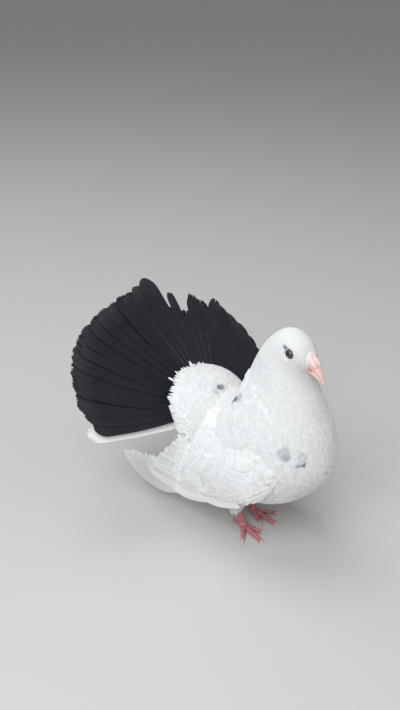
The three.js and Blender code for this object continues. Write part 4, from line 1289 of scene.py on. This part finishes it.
bill_tip = spot(71.6, 0, 181)
bill_horn = horn_material("bill_horn", (0.74, 0.55, 0.51, 1), (0.74, 0.44, 0.41, 1), bill_tip, 0.024)
upper = half_bill((52.5, 194.2), (65.5, 192.8), (71.6, 180.8), 4.9, 4.0, -1)
lower = half_bill((52, 188.2), (61.5, 187.4), (69.6, 181.0), 4.1, 2.9, 1)
dress(build("upper_bill_horn", *tubes([upper]), bill_horn), "bill_horn", "upper_bill")
dress(build("lower_bill_horn", *tubes([lower]), bill_horn), "bill_horn", "lower_bill")


def egg(centre, radii, droop, rows=28, cols=32):
    """Rings of an egg turned about the left-right axis by the droop."""
    v, u = ring_grid(0.03, 0.97, rows, cols)
    v = v * np.pi
    x, y, z = radii[0] * np.cos(u) * np.sin(v), radii[1] * np.cos(v), radii[2] * np.sin(u) * np.sin(v)
    back, up = y * np.cos(droop) - z * np.sin(droop), y * np.sin(droop) + z * np.cos(droop)
    return np.stack([x, back, up], axis=-1) + centre


cere_nodes = Nodes("cere_skin")
powder = cere_nodes.mix(cere_nodes.noise(700.0, 5.0), (0.70, 0.47, 0.44, 1), (0.80, 0.62, 0.58, 1))
cere_nodes.look({"Base Color": powder, "Roughness": 0.8})
cere_nodes.bump(cere_nodes.noise(1100.0, 4.0), 0.4, 0.0003)
lobes = [egg(spot(59.6, 2.0 * side, 195.8), (3.1, 5.6, 2.6), 0.66) for side, _ in SIDES]
dress(build("cere_lobes", *tubes(lobes), cere_nodes.material), "cere_skin", "cere")


def gape_lip(side):
    """Rings of a thin lip that runs from the corner of the mouth along the mouth line."""
    line = [(50.2, 6.6, 193.6), (53.2, 5.5, 192.9), (56.5, 4.4, 190.2), (60.2, 3.2, 188.4)]
    line = np.array([spot(ahead_, side * out, up) for ahead_, out, up in line])
    s, turn = ring_grid(0, len(line) - 1, 30, 12)
    thick = 0.95 * np.sqrt(np.sin(np.pi * np.clip(0.04 + s / 3.1, 0, 1)))
    return spline(line, s) + oval(np.array([side, 0, 0]), np.array([0, -0.5, 0.87]), thick, thick, turn)


lip_horn = horn_material("gape_skin", (0.56, 0.27, 0.26, 1), (0.50, 0.20, 0.20, 1), bill_tip, 0.03)
dress(build("gape_lips", *tubes([gape_lip(1), gape_lip(-1)[:, ::-1]]), lip_horn), "cere_skin", "cere")

# %% [markdown]
# ## Eyes and lids
# A pigeon's eye is round and set flush in the side of the head, ringed by two low wrinkled lids.
# This bird's eye is dark, so iris and pupil differ only a little, and the bare skin of its lids is
# nearly black. The ball has a clear gloss, and the lids are a ring of small folds.


# %% Eyes
eye_nodes = Nodes("eye")
off_axis = eye_nodes.mark("pupil")
iris = eye_nodes.mix(off_axis, (0.016, 0.009, 0.008, 1), (0.002, 0.002, 0.002, 1))
eye_nodes.look({"Base Color": iris, "Roughness": 0.06, "Coat Weight": 1.0, "Coat Roughness": 0.02})


def eye_ball(side):
    """A ball whose points know how near the pupil they are."""
    rings = egg(spot(EYE_AHEAD, EYE_OUT * side, EYE_UP), (EYE_RADIUS,) * 3, 0.0, 40, 40)
    points, faces = tubes([rings])
    off = np.hypot(points[:, 1] + EYE_AHEAD, points[:, 2] - EYE_UP)
    return points, faces, {"pupil": 1 - smooth_step(off, 1.7, 2.3)}


for side, label in SIDES:
    points, faces, marks = eye_ball(side)
    dress(build(f"eye_ball_{label}", points, faces, eye_nodes.material, None, marks), "eye", f"eye_{label}")

lid_nodes = Nodes("lid_skin")
lid_colour = lid_nodes.mix(lid_nodes.noise(900.0, 4.0), (0.040, 0.034, 0.036, 1), (0.12, 0.095, 0.095, 1))
lid_nodes.look({"Base Color": lid_colour, "Roughness": 0.6})
lid_nodes.bump(lid_nodes.noise(1600.0, 3.0), 0.4, 0.0003)


def lid_ring(side):
    """A closed ring of folds round the eye: a small circle carried round a larger one, wrinkled."""
    steps, cols = 96, 16
    turn, around = np.meshgrid(ring_grid(0, 0, 1, steps)[1][0], ring_grid(0, 0, 1, cols)[1][0], indexing="ij")
    tube = 0.75 * (1 + 0.16 * np.sin(17 * turn) + 0.08 * np.sin(29 * turn + 1))
    radius = 3.75 + tube * np.cos(around)
    out = EYE_OUT + 1.9 + 1.3 * tube * np.sin(around)
    high = 0.84 + 0.04 * np.cos(2 * turn)
    back, up = -(EYE_AHEAD + radius * np.cos(turn)), EYE_UP + radius * high * np.sin(turn)
    points = np.stack([side * out, back, up], axis=-1)
    i, j = np.meshgrid(np.arange(steps), np.arange(cols), indexing="ij")
    i, j, next_i, next_j = i * cols, j, (i + 1) % steps * cols, (j + 1) % cols
    faces = np.stack([i + j, i + next_j, next_i + next_j, next_i + j], axis=-1).reshape(-1, 4)
    return points, faces if side < 0 else faces[:, ::-1]


for side, label in SIDES:
    points, faces = lid_ring(side)
    dress(build(f"eyelids_{label}", points, [faces], lid_nodes.material), "cere_skin")

# %% [markdown]
# ## Feet
# Pink scaly shanks end in three toes ahead and one behind. Broad scutes cross the front of the
# shank and the top of each toe, with soft joints between. The toe is a tube whose top is stepped by
# the scutes, and it is flattened where it stands on the floor.


# %% Feet
TOES = (  # name, degrees from straight ahead, length, radius
    ("inner", -22, 19, 2.6), ("middle", 6, 28, 2.8), ("outer", 43, 22, 2.5), ("hind", 172, 13, 2.3),
)
SOLE, CLAW_LENGTH, CLAW_RADIUS, CLAW_SUNK = 0.35, 6.5, 1.15, 1.2


def scute_steps(s, count):
    """A saw that rises slowly over each scute and falls at its edge, softened."""
    phase = (s * count) % 1
    return phase * (1 - smooth_step(phase, 0.82, 1.0))


def toe_axes(side, bearing):
    """The way a toe points and the way across it."""
    turn = np.radians(bearing)
    return spot(np.cos(turn), side * np.sin(turn), 0), spot(-np.sin(turn), side * np.cos(turn), 0)


def toe_rings(side, bearing, length, radius):
    """Rings along a toe, thicker at its joints, stepped on top and flat below."""
    round_from, scute_length, bow = 0.93, 2.1, 0.5
    way, across = toe_axes(side, bearing)
    s, around = ring_grid(-0.08, 1, 70, 20)
    size = radius * (1 - 0.34 * s) * (1 + 0.09 * np.cos(2 * np.pi * s * 3)) * 0.95
    size = size + 0.30 * scute_steps(s, length / scute_length) * np.maximum(np.sin(around), 0)
    rounded = np.sqrt(np.maximum(1 - ((s - round_from) / 0.085) ** 2, 0.05))
    size = size * np.where(s > round_from, rounded, 1.0)
    centre = ball_of_foot(side, radius - SOLE) + way * (length * s)[..., None]
    centre = centre + up_axis * (-bow * s * s)[..., None]
    rings = centre + oval(across, up_axis, size, size * 0.95, around)
    rings[..., 2] = np.maximum(rings[..., 2], 0.0)
    return rings


def shank_rings(side):
    """Rings up the shank, with broad scutes in front."""
    start, end = ball_of_foot(side, BALL[1] - 1.5), hock_of(side)
    _, across, ahead_ = limb_axes(start, end)
    ahead_ = ahead_ if ahead_[1] < 0 else -ahead_
    s, around = ring_grid(0, 0.60, 62, 24)
    size = 3.5 - 0.6 * s + 0.35 * scute_steps(1 - s, 15) * np.maximum(np.sin(around), 0)
    return start + (end - start) * s[..., None] + oval(across, ahead_, size * 0.86, size, around)


leg_nodes = Nodes("leg_skin")
leg_place = leg_nodes.add("ShaderNodeTexCoord").outputs["Object"]
scale_inputs = {"Vector": leg_place, "Scale": 620.0}
scales = leg_nodes.add("ShaderNodeTexVoronoi", scale_inputs, feature="DISTANCE_TO_EDGE")
cracks = leg_nodes.math("MULTIPLY", scales.outputs["Distance"], 6.0, clamp=True)
flesh = leg_nodes.mix(leg_nodes.noise(160.0, 4.0), (0.50, 0.14, 0.165, 1), (0.68, 0.30, 0.32, 1))
leg_nodes.look({
    "Base Color": leg_nodes.mix(cracks, (0.34, 0.10, 0.11, 1), flesh), "Roughness": 0.5,
    "Subsurface Weight": 0.1, "Subsurface Scale": 0.002,
})
leg_nodes.bump(cracks, 0.5, 0.0003)

for side, label in SIDES:
    rings = [toe_rings(side, *toe) for _, *toe in TOES] + [shank_rings(side)]
    ball = egg(ball_of_foot(side, 2.9), (4.4, 4.6, 3.2), 0.0, 16, 24)
    ball[..., 2] = np.maximum(ball[..., 2], 0.0)
    foot = build(f"foot_skin_{label}", *tubes(rings + [ball]), leg_nodes.material)
    dress(foot, "leg_skin", f"foot_{label}")


def claw_rings(side, bearing, length, radius):
    """Rings along a claw that leaves the toe's end and bends down to the floor."""
    way, across = toe_axes(side, bearing)
    start = ball_of_foot(side, radius - SOLE - 0.5) + way * (length - CLAW_SUNK)
    s, around = ring_grid(0, 1, 16, 14)
    size = CLAW_RADIUS * (1 - 0.85 * s**1.2)
    drop = 0.5 * s - (start[2] + 0.1) * 0.9 * s * s
    centre = start + way * ((CLAW_LENGTH + CLAW_SUNK) * s)[..., None] + up_axis * drop[..., None]
    rings = centre + oval(across, up_axis, size, size, around)
    rings[..., 2] = np.maximum(rings[..., 2], 0.02)
    return rings


claw_horn = horn_material("claw_horn", (0.45, 0.34, 0.28, 1), (0.70, 0.55, 0.47, 1), spot(0, 0, 0), 0.05)
for side, label in SIDES:
    for title, *toe in TOES:
        made = build(f"claw_horn_{label}_{title}", *tubes([claw_rings(side, *toe)]), claw_horn)
        dress(made, "claw_horn", f"claw_{label}_{title}")
print("feet and claws made")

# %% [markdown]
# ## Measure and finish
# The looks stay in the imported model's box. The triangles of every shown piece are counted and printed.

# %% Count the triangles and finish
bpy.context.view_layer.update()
triangles = {}
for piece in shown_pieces():
    counts = np.empty(len(piece.data.polygons), dtype=np.int32)
    piece.data.polygons.foreach_get("loop_total", counts)
    triangles[piece.name] = int((counts - 2).sum())
print("triangles:", sum(triangles.values()), triangles)
